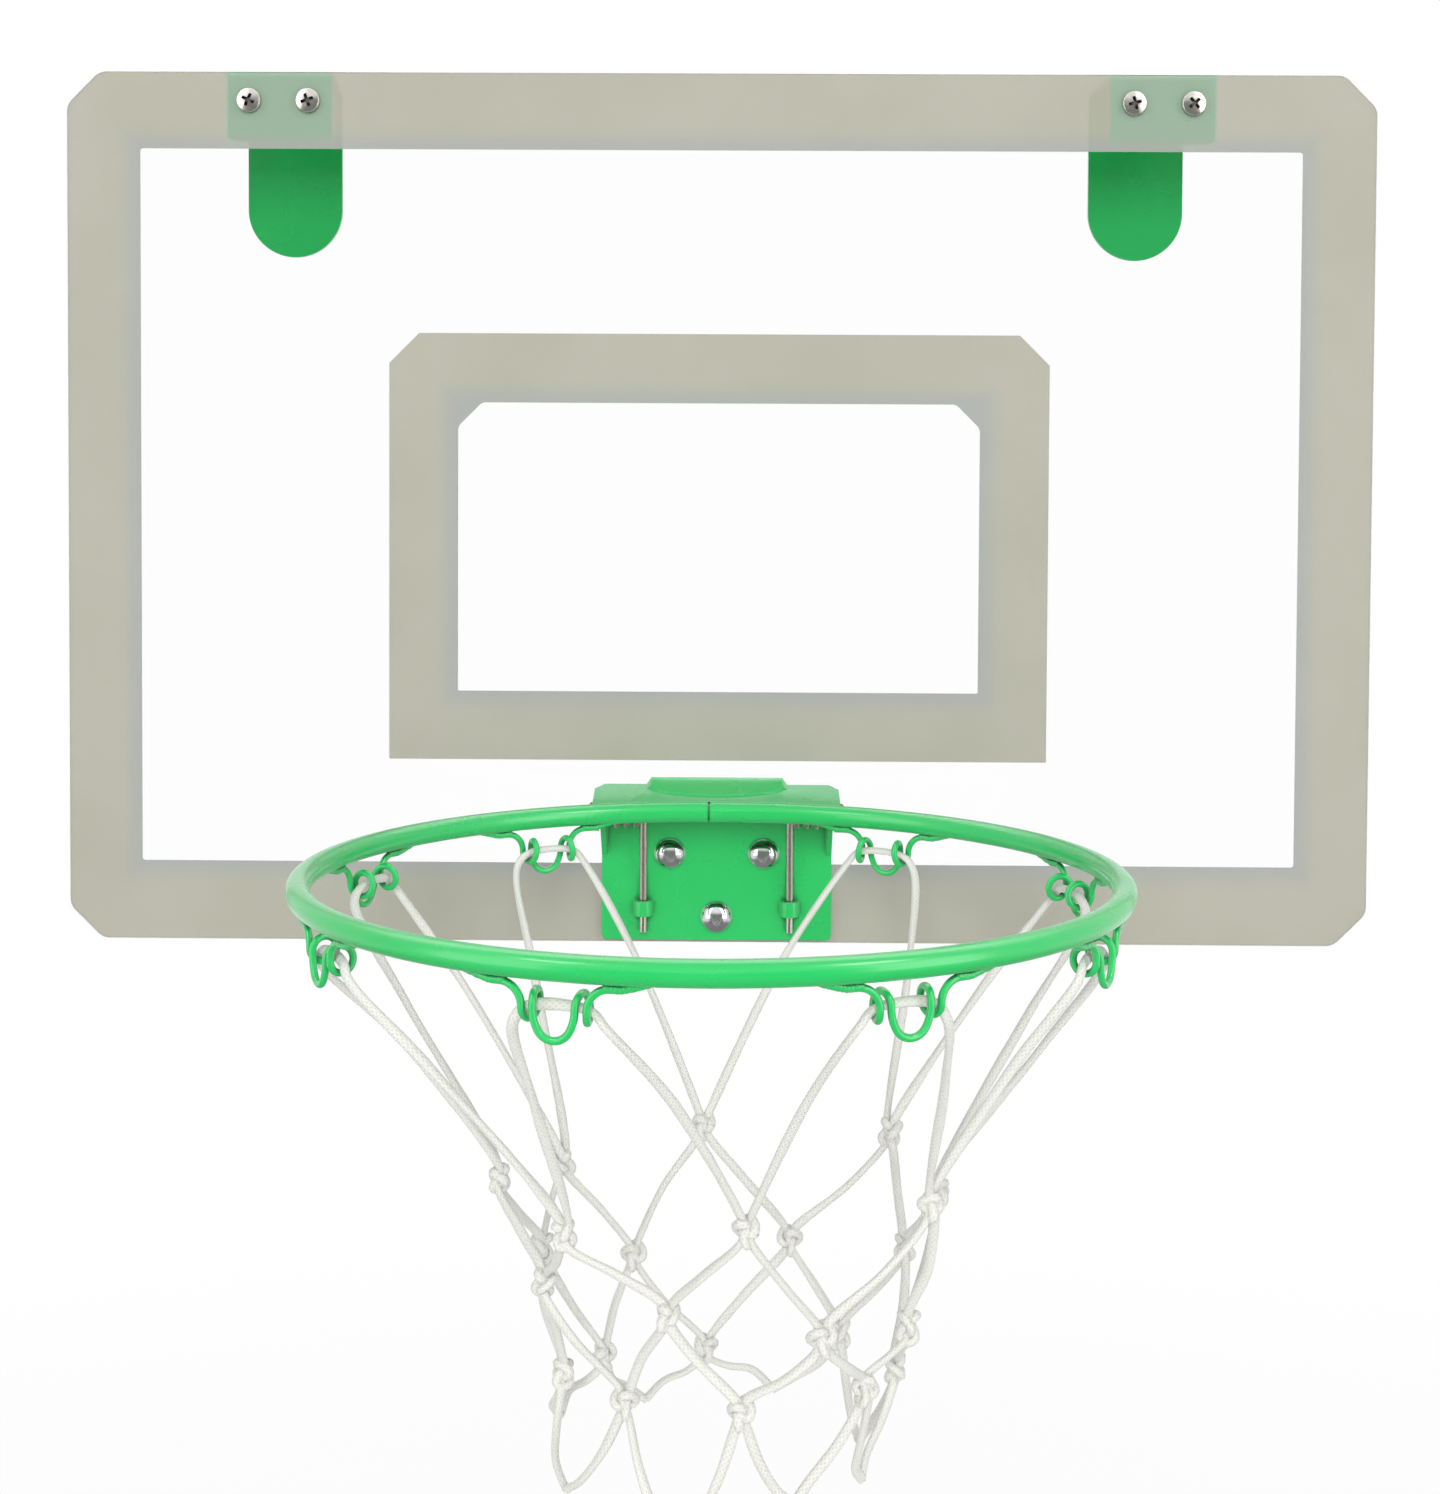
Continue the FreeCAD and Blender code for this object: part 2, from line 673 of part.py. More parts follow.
def rim_plate():
    """Tilted plate that joins the ring to the pin, with a pressed pad, side ears and a trimmed front."""
    tilt = math.radians(rim_plate_tilt)
    stop = pin_reach - print_thick - plate_thick - rim_plate_stop_gap
    rear = (stop + rim_plate_lift * math.sin(tilt)) / math.cos(tilt)
    rear_half = rim_plate_rear_width / 2
    flare = rim_ear_radius
    outline = (
        (rear_half, rear), (rim_ear_outer, flare), (rim_ear_outer, -rim_plate_front),
        (-rim_ear_outer, -rim_plate_front), (-rim_ear_outer, flare), (-rear_half, rear),
    )
    points = [Vector(x, y, rim_plate_lift) for x, y in outline]
    plate = prism(points, [0] * len(points), Vector(0, 0, rim_plate_thick))
    top = rim_plate_lift + rim_plate_thick
    half = pad_width / 2
    front = rear - pad_depth
    plate = plate.fuse(pad_block(half, rear, front, top - rim_plate_thick / 2, top))
    plate = plate.cut(pad_block(
        half - rim_plate_thick, rear + cut_overrun, front + rim_plate_thick,
        rim_plate_lift - cut_overrun, rim_plate_lift))
    for side in (-1, 1):
        plate = plate.fuse(rim_ear(side, rim_plate_front * ear_front_share, flare))
        bore = Vector(side * (rim_ear_outer + cut_overrun), 0, 0)
        reach = rim_plate_thick + cut_overrun * 2
        plate = plate.cut(rod(bore, Vector(-side, 0, 0), pin_diameter / 2 + running_fit, reach))
    plate.rotate(Vector(0, 0, 0), Vector(1, 0, 0), rim_plate_tilt)
    plate.translate(Vector(0, pin_y, pin_z))
    centre = Vector(0, ring_y, ring_z)
    plate = plate.cut(Part.makeTorus(ring_radius, ring_tube / 2 + weld_gap, centre, Vector(0, 0, 1)))
    inside = Part.makeCylinder(ring_radius, ring_tube * 4, Vector(0, ring_y, ring_z - ring_tube * 2))
    return plate.cut(inside).removeSplitter()


def pad_outline(half, rear, front, rear_z, front_z):
    """Outline of the pressed pad, from its rear right corner round the front, with round front corners."""
    corners = ((half, rear, rear_z), (half, front, front_z), (-half, front, front_z), (-half, rear, rear_z))
    return rounded_wire([Vector(*corner) for corner in corners], [0, pad_round, pad_round, 0])


def pad_block(half, rear, front, base, level):
    """Pad with leaning sides on a base, its top sloping down to the front above a level."""
    foot = pad_outline(half, rear, front, base, base)
    crown = pad_outline(
        half - pad_side_draft, rear, front + pad_front_draft,
        level + pad_rise, level + pad_rise * pad_front_share)
    return Part.makeLoft([foot, crown], True, True)


def clip_frame(angle):
    """Outward and sideways directions at an angle round the ring."""
    out = Vector(math.cos(angle), math.sin(angle), 0)
    return out, Vector(-math.sin(angle), math.cos(angle), 0)


def clip_station(middle, along, offset, drop, way):
    """Clip station: a place measured along the ring, outwards and down, with its local direction."""
    angle = middle + along / ring_radius
    out, side = clip_frame(angle)
    direction = side * way[0] + out * way[1] - Vector(0, 0, 1) * way[2]
    return ring_point(angle, offset, drop), direction.normalize()


def clip_half(middle, side):
    """Stations of half a clip, from its foot on the ring to the bottom of its loop."""
    eye = clip_eye_diameter / 2
    eye_drop = ring_tube / 2 + clip_eye_drop
    eye_start = clip_loop_half + clip_eye_pitch
    leg = eye_drop - clip_foot_drop
    rise = clip_eye_pitch / (2 * math.pi * eye)
    stations = [
        clip_station(middle, side * clip_span / 2, 0, clip_foot_drop, (-side, 0, 0)),
        clip_station(middle, side * (eye_start + leg), 0, clip_foot_drop, (-side, 0, 0)),
    ]
    for quarter in range(5):
        angle = quarter * math.pi / 2
        along = eye_start - clip_eye_pitch * quarter / 4
        offset = eye * math.cos(angle) - eye
        drop = eye_drop + eye * math.sin(angle)
        lean = rise if quarter in (1, 2, 3) else 0
        way = (-side * lean, -math.sin(angle), math.cos(angle))
        stations.append(clip_station(middle, side * along, offset, drop, way))
    stations.append(clip_station(middle, 0, 0, ring_tube / 2 + clip_loop_drop, (-side, 0, 0)))
    return stations


def net_clip(angle):
    """Wire clip: a foot, an eye, the middle loop, the second eye and the second foot."""
    middle = math.radians(angle)
    first = clip_half(middle, -1)
    second = [(place, -way) for place, way in reversed(clip_half(middle, 1))]
    stations = first + second[1:]
    return tube(smooth_path(stations), stations[0][0], stations[0][1], clip_wire / 2)


def net_angles(row):
    """Angles of a row of knots: between the clips on odd rows, below them on even rows."""
    clips = list(clip_angles)
    gaps = []
    for here, there in zip(clips, clips[1:] + [clips[0] + 360]):
        gaps.append(math.radians((here + there) / 2))
    if row % 2 == 0:
        return gaps
    return [math.radians(angle) for angle in clips]


def net_point(angle, row):
    """Place of a knot."""
    reach = net_row_radii[row]
    return Vector(reach * math.cos(angle), ring_y + reach * math.sin(angle), ring_z - net_row_drops[row])


def net_port(angle, row, side, level):
    """Place where a cord enters a knot: on its left or right (side) and above or below (level)."""
    _, along = clip_frame(angle)
    offset = net_knot_diameter / 2 * knot_port_share
    return net_point(angle, row) + along * (side * offset) + Vector(0, 0, level * offset)


def net_strand(stations):
    """One run of cord through its stations."""
    return tube(smooth_path(stations), stations[0][0], stations[0][1], net_cord / 2)


def net_top(index):
    """Cord through both eyes of a clip, down on each side to the first row of knots."""
    middle = math.radians(clip_angles[index])
    eye = clip_eye_diameter / 2
    slack = eye - clip_wire / 2 - net_cord / 2 - net_seat_gap
    eye_drop = ring_tube / 2 + clip_eye_drop + slack
    reach = clip_loop_half + clip_eye_pitch
    knots = net_angles(0)
    stations = []
    for side, knot in ((-1, knots[index - 1]), (1, knots[index])):
        end = net_port(knot, 0, -side, 1)
        eye_place, along = clip_station(middle, side * reach, -eye, eye_drop, (side, 0, 0))
        shoulder, _ = clip_station(
            middle, side * (reach + net_shoulder), -eye, eye_drop + net_shoulder, (side, 0, 0))
        fall = (end - shoulder).normalize()
        steep = (fall - Vector(0, 0, net_steep_share)).normalize()
        stations.append([(eye_place, along), (shoulder, fall), (end, steep)])
    inward = [(place, -way) for place, way in reversed(stations[0])]
    return net_strand(inward + stations[1])


def net_mesh():
    """Straight runs of cord from each row of knots to the two nearest knots of the next row."""
    strands = []
    for row in range(len(net_row_drops) - 1):
        upper, lower = net_angles(row), net_angles(row + 1)
        for index, angle in enumerate(upper):
            for step, side in ((0, -1), (1, 1)):
                below = lower[(index + step - row % 2) % len(lower)]
                start = net_port(angle, row, side, -1)
                run = net_port(below, row + 1, -side, 1) - start
                strands.append(rod(start, run, net_cord / 2, run.Length))
    return strands


def net_ends():
    """Loops that hang from the last row of knots."""
    last = len(net_row_drops) - 1
    knots = net_angles(last)
    loops = []
    down = Vector(0, 0, -1)
    lift = Vector(0, 0, net_end_bend)
    for index, angle in enumerate(knots):
        turn = (knots[(index + 1) % len(knots)] - angle) % (2 * math.pi)
        out, side = clip_frame(angle + turn / 2)
        low = Vector(0, ring_y, ring_z - net_end_drop) + out * net_end_radius
        loops.append(net_strand([
            (net_port(angle, last, 1, -1), down), (low - side * net_end_bend + lift, down), (low, side),
            (low + side * net_end_bend + lift, -down), (net_port(angle + turn, last, -1, -1), -down),
        ]))
    return loops


def net():
    """Cord net: runs of cord joined by knots, as one piece."""
    runs = [net_top(index) for index in range(len(clip_angles))] + net_mesh() + net_ends()
    knots = []
    for row in range(len(net_row_drops)):
        for angle in net_angles(row):
            out, _ = clip_frame(angle)
            knots.append(Part.makeSphere(net_knot_diameter / 2, net_point(angle, row), out))
    return knots[0].multiFuse(knots[1:] + runs)


pieces = {
    "backboard": backboard,
    "border_print": border_print,
    "target_print": target_print,
    "left_door_hook": lambda: door_hook(-hook_spacing / 2),
    "right_door_hook": lambda: door_hook(hook_spacing / 2),
    "hook_screws": hook_screws,
    "mounting_plate": mounting_plate,
    "bracket_bolts": bracket_bolts,
    "bracket_washers": bracket_washers,
    "bracket_nuts": bracket_nuts,
    "hinge_pin": hinge_pin,
    "pin_cap": pin_cap,
    "left_spring": left_spring,
    "right_spring": right_spring,
    "rim_plate": rim_plate,
    "rim_ring": rim_ring,
    "net": net,
}

os.makedirs("parts", exist_ok=True)
for name, build in pieces.items():
    build().exportStep("parts/" + name + ".step")
for number, place in enumerate(clip_angles, start=1):
    net_clip(place).exportStep("parts/net_clip_%d.step" % number)
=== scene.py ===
"""Looks of a small basketball goal that hangs over a door: clear board, hooks, sprung rim, net."""
import logging
import math
import random
from dataclasses import dataclass, field, fields
from enum import Enum
from typing import ClassVar, Sequence

import bmesh
import bpy
import numpy as np
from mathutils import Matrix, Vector

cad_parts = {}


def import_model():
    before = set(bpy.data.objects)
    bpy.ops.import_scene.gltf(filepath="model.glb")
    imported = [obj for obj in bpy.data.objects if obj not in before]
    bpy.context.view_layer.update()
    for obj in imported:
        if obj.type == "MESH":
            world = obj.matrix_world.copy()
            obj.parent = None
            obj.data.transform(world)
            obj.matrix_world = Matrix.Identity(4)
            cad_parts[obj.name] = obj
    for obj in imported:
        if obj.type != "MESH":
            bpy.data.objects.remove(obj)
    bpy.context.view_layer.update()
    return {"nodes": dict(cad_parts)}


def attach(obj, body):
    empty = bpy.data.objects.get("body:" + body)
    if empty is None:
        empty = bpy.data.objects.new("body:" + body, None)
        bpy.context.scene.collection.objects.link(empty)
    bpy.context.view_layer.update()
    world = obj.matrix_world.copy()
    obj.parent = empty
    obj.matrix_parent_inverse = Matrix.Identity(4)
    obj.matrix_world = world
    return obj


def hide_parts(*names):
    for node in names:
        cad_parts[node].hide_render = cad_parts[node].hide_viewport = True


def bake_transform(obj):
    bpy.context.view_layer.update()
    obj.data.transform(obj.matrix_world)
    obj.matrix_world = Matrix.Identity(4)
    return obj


LOG = logging.getLogger("goal")
MM = 0.001
UV_NAME = "UVMap"
RIM_TILT = math.radians(11)

Colour = tuple[float, float, float]
Point = tuple[float, float, float]
Span = tuple[float, float]
Socket = bpy.types.NodeSocket
Results = dict[str, Socket]
Outputs = bpy.types.NodeOutputs
NodeTree = bpy.types.NodeTree
Piece = bpy.types.Object


class Body(Enum):
    """Rigid bodies of the goal that a piece can ride on."""

    BOARD = "backboard"
    RIM = "rim"


class Slot(Enum):
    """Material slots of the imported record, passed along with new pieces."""

    PAINT = "green_paint"
    CLEAR = "clear_sheet"
    PRINT = "print_film"
    SPRING = "spring_steel"
    CORD = "net_cord"


class Side(Enum):
    """Left or right half of the goal, seen from the front."""

    LEFT = -1
    RIGHT = 1


def linear(colour: Colour) -> tuple[float, float, float, float]:
    """Turn a display colour of 0 to 255 into a linear one with full alpha.

    Args:
        colour: its red, green and blue parts.

    Returns:
        The linear colour as four numbers.
    """
    parts = []
    for value in colour:
        share = value / 255
        parts.append(share / 12.92 if share <= 0.04045 else ((share + 0.055) / 1.055) ** 2.4)
    return (*parts, 1.0)


def label(name: str) -> str:
    """Turn a field's name into the name of a node socket."""
    return name.replace("_", " ").title()


class Graph:
    """Adds and links the nodes of one tree."""

    def __init__(self, tree: NodeTree) -> None:
        """Keep the tree that is filled."""
        self.tree = tree

    def node(self, kind: str, inputs: dict | None = None, **settings: object) -> bpy.types.Node:
        """Add a node.

        Args:
            kind: Blender's name of the node type.
            inputs: values or sockets for its inputs, by name or number.
            **settings: the node's own properties.

        Returns:
            The new node.
        """
        made = self.tree.nodes.new(kind)
        for name, value in settings.items():
            setattr(made, name, value)
        for key, value in (inputs or {}).items():
            self.feed(made.inputs[key], value)
        return made

    def result(self, kind: str, inputs: dict | None = None, **settings: object) -> Socket:
        """Add a node as above and return its first output."""
        return self.node(kind, inputs, **settings).outputs[0]

    def feed(self, socket: Socket, value: object) -> None:
        """Link a socket to another, or set its value.

        Args:
            socket: the socket to feed.
            value: another socket, or a plain value.
        """
        if isinstance(value, Socket):
            self.tree.links.new(value, socket)
        else:
            socket.default_value = value

    def door(self, way: str, name: str, kind: str) -> None:
        """Give the tree itself an input or an output socket."""
        self.tree.interface.new_socket(name, in_out=way, socket_type="NodeSocket" + kind)

    def math(self, operation: str, first: object, second: object = 0.0) -> Socket:
        """Join two values by a math operation and return the result."""
        return self.result("ShaderNodeMath", {0: first, 1: second}, operation=operation)

    def times(self, first: object, second: object) -> Socket:
        """Multiply two values."""
        return self.math("MULTIPLY", first, second)

    def minus(self, first: object, second: object) -> Socket:
        """Take the second value from the first."""
        return self.math("SUBTRACT", first, second)

    def most(self, first: object, *others: object) -> Socket:
        """Return the greatest of several values."""
        for other in others:
            first = self.math("MAXIMUM", first, other)
        return first

    def none(self, count: Socket) -> Socket:
        """Return 1 where a whole number is 0, and else 0."""
        return self.math("LESS_THAN", count, 0.5)

    def ramp(self, value: Socket, low: float, high: float,
             start: float = 0.0, end: float = 1.0) -> Socket:
        """Map a value smoothly from one range to another.

        Args:
            value: the value to map.
            low: where the output is start.
            high: where the output is end.
            start: first output value.
            end: last output value.

        Returns:
            The mapped value.
        """
        return self.result("ShaderNodeMapRange", {0: value, 1: low, 2: high, 3: start, 4: end},
                           interpolation_type="SMOOTHSTEP")

    def tint(self, factor: object, first: object, second: object) -> Socket:
        """Mix two colours.

        Args:
            factor: share of the second colour.
            first: the first colour, as a socket or a display colour.
            second: the second colour, likewise.

        Returns:
            The mixed colour.
        """
        pair = [item if isinstance(item, Socket) else linear(item) for item in (first, second)]
        made = self.node("ShaderNodeMix", {0: factor, 6: pair[0], 7: pair[1]}, data_type="RGBA")
        return made.outputs[2]

    def mixed(self, factor: object, first: Socket, second: Socket) -> Socket:
        """Mix two shaders by a factor."""
        return self.result("ShaderNodeMixShader", {0: factor, 1: first, 2: second})

    def noise(self, vector: Socket, size: object, detail: float) -> Socket:
        """Noise with features of about the given size in metres."""
        scale = self.math("DIVIDE", 1.0, size) if isinstance(size, Socket) else 1.0 / size
        return self.result(
            "ShaderNodeTexNoise", {"Vector": vector, "Scale": scale, "Detail": detail})

    def place(self) -> Socket:
        """Return the place on the object."""
        return self.node("ShaderNodeTexCoord").outputs["Object"]

    def parts(self, vector: Socket) -> Outputs:
        """Return a vector's X, Y and Z."""
        return self.node("ShaderNodeSeparateXYZ", {0: vector}).outputs

    def unrolled(self) -> Outputs:
        """Return the places along (X) and around (Y) a swept bar."""
        return self.parts(self.result("ShaderNodeUVMap", uv_map=UV_NAME))

    def rays(self) -> Outputs:
        """Return what is known of the ray that is traced."""
        return self.node("ShaderNodeLightPath").outputs


def empty_graph(owner: bpy.types.ID) -> Graph:
    """Give a material or a world an empty node tree and return its graph."""
    owner.use_nodes = True
    owner.node_tree.nodes.clear()
    return Graph(owner.node_tree)


@dataclass(frozen=True)
class Recipe:
    """Node group that is built once, under its class's name. Its fields are the group's inputs."""

    kind: ClassVar[str]
    outcome: ClassVar[str]
    extras: ClassVar[dict[str, str]] = {}

    def group(self) -> NodeTree:
        """Return the group, built on first use."""
        title = type(self).__name__
        found = bpy.data.node_groups.get(title)
        if found is None:
            found = bpy.data.node_groups.new(title, self.kind)
            graph = Graph(found)
            for name, kind in self.extras.items():
                graph.door("INPUT", name, kind)
            for item in fields(self):
                graph.door("INPUT", label(item.name), "Int" if item.type is int else "Float")
            results = self.fill(graph, graph.node("NodeGroupInput").outputs)
            for name in results:
                graph.door("OUTPUT", name, self.outcome)
            graph.node("NodeGroupOutput", results)
        return found

    def fill(self, graph: Graph, given: Outputs) -> Results:
        """Build the group's nodes.

        Args:
            graph: the group's graph.
            given: the group's inputs.

        Returns:
            The group's results by name.
        """
        raise NotImplementedError


@dataclass(frozen=True)
class Effect(Recipe):
    """Shader node group that finishes share."""

    kind: ClassVar[str] = "ShaderNodeTree"
    outcome: ClassVar[str] = "Float"

    def add(self, graph: Graph) -> Outputs:
        """Place the group in a material, with this effect's values.

        Args:
            graph: the material's graph.

        Returns:
            The group's outputs.
        """
        made = graph.node("ShaderNodeGroup", node_tree=self.group())
        for item in fields(self):
            made.inputs[label(item.name)].default_value = getattr(self, item.name)
        return made.outputs


@dataclass(frozen=True)
class Skin(Effect):
    """Sprayed or moulded skin: fine peel, broad tone and handling smudges."""

    peel_size: float
    tone_size: float
    smudge_size: float
    tone_span: ClassVar[Span] = (0.35, 0.65)
    smudge_span: ClassVar[Span] = (0.45, 0.75)

    def fill(self, graph: Graph, given: Outputs) -> Results:
        """Build three sizes of noise."""
        place = graph.place()
        peel = graph.noise(place, given["Peel Size"], detail=2.0)
        tone = graph.noise(place, given["Tone Size"], detail=3.0)
        smudge = graph.noise(place, given["Smudge Size"], detail=4.0)
        return {"Height": peel, "Tone": graph.ramp(tone, *self.tone_span),
                "Smudge": graph.ramp(smudge, *self.smudge_span)}


@dataclass(frozen=True)
class Edge(Effect):
    """Mask of edges: 1 on an edge, 0 on flat faces."""

    reach: float
    turned: ClassVar[Span] = (0.0, 0.2)

    def fill(self, graph: Graph, given: Outputs) -> Results:
        """Compare a face's normal with that of a rounded shape."""
        rounded = graph.result("ShaderNodeBevel", {"Radius": given["Reach"]}, samples=4)
        plain = graph.node("ShaderNodeNewGeometry").outputs["Normal"]
        dot = graph.node("ShaderNodeVectorMath", {0: rounded, 1: plain}, operation="DOT_PRODUCT")
        return {"Mask": graph.ramp(graph.minus(1.0, dot.outputs["Value"]), *self.turned)}


@dataclass(frozen=True)
class Crevice(Effect):
    """Ambient-occlusion mask for painted shade in creases and covered corners: 1 far inside, 0 on
    open faces.
    """

    reach: float
    bare: ClassVar[Span] = (0.35, 0.95)

    def fill(self, graph: Graph, given: Outputs) -> Results:
        """Measure how much of a place is covered."""
        near = graph.node("ShaderNodeAmbientOcclusion", {"Distance": given["Reach"]}, samples=8)
        return {"Mask": graph.ramp(near.outputs["AO"], *self.bare, 1.0, 0.0)}


@dataclass(frozen=True)
class Pressed(Effect):
    """Mask of a plate on each side of the middle that shows through a frosted film; it places the
    plate's painted light in the film's colour.
    """

    centre: float
    half_width: float
    foot: float
    soft: float
    side_blur: ClassVar[float] = 0.5 * MM

    def fill(self, graph: Graph, given: Outputs) -> Results:
        """Find the plates, sharp at their sides and soft at their feet."""
        parts = graph.parts(graph.place())
        off = graph.minus(graph.math("ABSOLUTE", parts["X"]), given["Centre"])
        aside = graph.minus(graph.math("ABSOLUTE", off), given["Half Width"])
        across = graph.ramp(aside, -self.side_blur, self.side_blur, 1.0, 0.0)
        height = graph.math("DIVIDE", graph.minus(parts["Z"], given["Foot"]), given["Soft"])
        return {"Mask": graph.times(across, graph.ramp(height, 0.0, 1.0))}


@dataclass(frozen=True)
class Window(Effect):
    """Mask that fades from the inner edge of a printed frame outwards."""

    half_width: float
    bottom: float
    top: float
    reach: float = 9.0 * MM

    def fill(self, graph: Graph, given: Outputs) -> Results:
        """Measure how far a place lies outside the window."""
        parts = graph.parts(graph.place())
        aside = graph.minus(graph.math("ABSOLUTE", parts["X"]), given["Half Width"])
        above = graph.minus(parts["Z"], given["Top"])
        below = graph.minus(given["Bottom"], parts["Z"])
        share = graph.math("DIVIDE", graph.most(aside, above, below), given["Reach"])
        return {"Mask": graph.ramp(share, 0.0, 1.0, 1.0, 0.0)}


@dataclass(frozen=True)
class Braid(Effect):
    """Diamonds of a braided cord, from the places along and around it."""

    carriers: float
    pitch: float
    fullness: ClassVar[float] = 0.6
    gap_span: ClassVar[Span] = (0.35, 0.85)

    def fill(self, graph: Graph, given: Outputs) -> Results:
        """Cross two sets of strands."""
        parts = graph.unrolled()
        turn = graph.times(parts["Y"], given["Carriers"])
        run = graph.math("DIVIDE", parts["X"], given["Pitch"])
        strands = []
        for joined in ("ADD", "SUBTRACT"):
            phase = graph.times(graph.math(joined, turn, run), math.tau)
            strands.append(graph.math("ABSOLUTE", graph.math("COSINE", phase)))
        top = graph.most(*strands)
        return {"Height": graph.math("POWER", top, self.fullness),
                "Gap": graph.ramp(top, *self.gap_span, 1.0, 0.0)}


@dataclass(frozen=True)
class Scratches(Effect):
    """Fine polishing lines in two directions, and a broad haze."""

    size: float
    strokes: ClassVar[tuple[tuple[float, Point], ...]] = (
        (0.6, (1.0, 1.0, 14.0)), (-0.4, (14.0, 1.0, 1.0)))
    haze_size: ClassVar[float] = 3.0 * MM
    haze_span: ClassVar[Span] = (0.4, 0.7)

    def fill(self, graph: Graph, given: Outputs) -> Results:
        """Stretch noise into lines and cross them."""
        place = graph.place()
        lines = []
        for turn, stretch in self.strokes:
            turned = graph.result("ShaderNodeMapping", {
                "Vector": place, "Rotation": (0.0, turn, 0.0), "Scale": stretch})
            lines.append(graph.noise(turned, given["Size"], detail=1.0))
        haze = graph.noise(place, self.haze_size, detail=3.0)
        return {"Height": graph.times(*lines), "Haze": graph.ramp(haze, *self.haze_span)}


@dataclass(frozen=True)
class Drawn(Effect):
    """Lengthwise die lines of drawn wire."""

    lines: float
    breaks_per_metre: ClassVar[float] = 220.0

    def fill(self, graph: Graph, given: Outputs) -> Results:
        """Stretch noise along the wire."""
        parts = graph.unrolled()
        around = graph.times(parts["Y"], given["Lines"])
        along = graph.times(parts["X"], self.breaks_per_metre)
        line = graph.result("ShaderNodeCombineXYZ", {0: along, 1: around})
        return {"Height": graph.result("ShaderNodeTexNoise", {"Vector": line, "Scale": 1.0})}


@dataclass(frozen=True)
class Finish:
    """A surface finish: builds its material once and hands it out."""

    title: str

    def material(self) -> bpy.types.Material:
        """Return the finish's material, built on first use."""
        found = bpy.data.materials.get(self.title)
        if found is None:
            found = bpy.data.materials.new(self.title)
            graph = empty_graph(found)
            graph.node("ShaderNodeOutputMaterial", {"Surface": self.surface(graph)})
        return found

    def surface(self, graph: Graph) -> Socket:
        """Build the shader and return its socket."""
        raise NotImplementedError

    def bump(self, graph: Graph, height: Socket, depth: float) -> Socket:
        """Turn a height of 0 to 1 into a normal, depth metres deep."""
        return graph.result(
            "ShaderNodeBump", {"Height": height, "Distance": depth, "Strength": 1.0})

    def shadowed(self, graph: Graph, shader: Socket, passed: Colour) -> Socket:
        """Let shadow rays through a shader, tinted by the colour that is passed."""
        clear = graph.result("ShaderNodeBsdfTransparent", {0: linear(passed)})
        return graph.mixed(graph.rays()["Is Shadow Ray"], shader, clear)


@dataclass(frozen=True)
class SprayPaint(Finish):
    """Glossy sprayed enamel with a fine peel, paler on edges, with painted shade darkening its
    creases.
    """

    colour: Colour = (20, 178, 86)
    pale: Colour = (60, 200, 114)
    deep: Colour = (4, 84, 42)
    skin: Skin = Skin(peel_size=1.4 * MM, tone_size=90.0 * MM, smudge_size=30.0 * MM)
    edge: Edge = Edge(reach=0.5 * MM)
    crevice: Crevice = Crevice(reach=2.4 * MM)
    mottle: float = 0.15
    wear: float = 0.3
    shade: float = 0.8
    rough: Span = (0.26, 0.34)
    relief: float = 0.006 * MM

    def surface(self, graph: Graph) -> Socket:
        """Build the enamel."""
        skin = self.skin.add(graph)
        worn = graph.times(self.edge.add(graph)["Mask"], self.wear)
        # painted shade: creases and covered corners darken towards a darker green by ambient
        # occlusion
        covered = graph.times(self.crevice.add(graph)["Mask"], self.shade)
        tone = graph.tint(graph.times(skin["Tone"], self.mottle), self.colour, self.pale)
        return graph.result("ShaderNodeBsdfPrincipled", {
            "Base Color": graph.tint(covered, graph.tint(worn, tone, self.pale), self.deep),
            "Roughness": graph.ramp(skin["Smudge"], 0.0, 1.0, *self.rough),
            "Specular IOR Level": 0.75,
            "Coat Weight": 0.3,
            "Coat Roughness": 0.06,
            "Sheen Weight": 0.12,
            "Sheen Roughness": 0.35,
            "Normal": self.bump(graph, skin["Height"], self.relief),
        })


@dataclass(frozen=True)
class ClearSheet(Finish):
    """Clear plastic sheet that lets light and shadows through."""

    colour: Colour = (255, 255, 255)
    dimmed: Colour = (231, 233, 232)
    skin: Skin = Skin(peel_size=20.0 * MM, tone_size=100.0 * MM, smudge_size=30.0 * MM)
    rough: Span = (0.0, 0.02)

    def surface(self, graph: Graph) -> Socket:
        """Build the clear sheet."""
        sheet = graph.result("ShaderNodeBsdfPrincipled", {
            "Base Color": linear(self.colour),
            "Roughness": graph.ramp(self.skin.add(graph)["Smudge"], 0.0, 1.0, *self.rough),
            "IOR": 1.22,
            "Transmission Weight": 1.0,
        })
        return self.shadowed(graph, sheet, self.dimmed)


@dataclass(frozen=True)
class SawnEdge(Finish):
    """Fine-sawn edge of a clear sheet, which scatters light instead of letting it through."""

    colour: Colour = (228, 232, 229)
    dull: Colour = (206, 212, 208)
    saw: Scratches = Scratches(size=0.9 * MM)
    rough: Span = (0.3, 0.45)
    relief: float = 0.02 * MM

    def surface(self, graph: Graph) -> Socket:
        """Build the edge."""
        lines = self.saw.add(graph)
        return graph.result("ShaderNodeBsdfPrincipled", {
            "Base Color": graph.tint(lines["Haze"], self.colour, self.dull),
            "Roughness": graph.ramp(lines["Haze"], 0.0, 1.0, *self.rough),
            "Normal": self.bump(graph, lines["Height"], self.relief),
        })


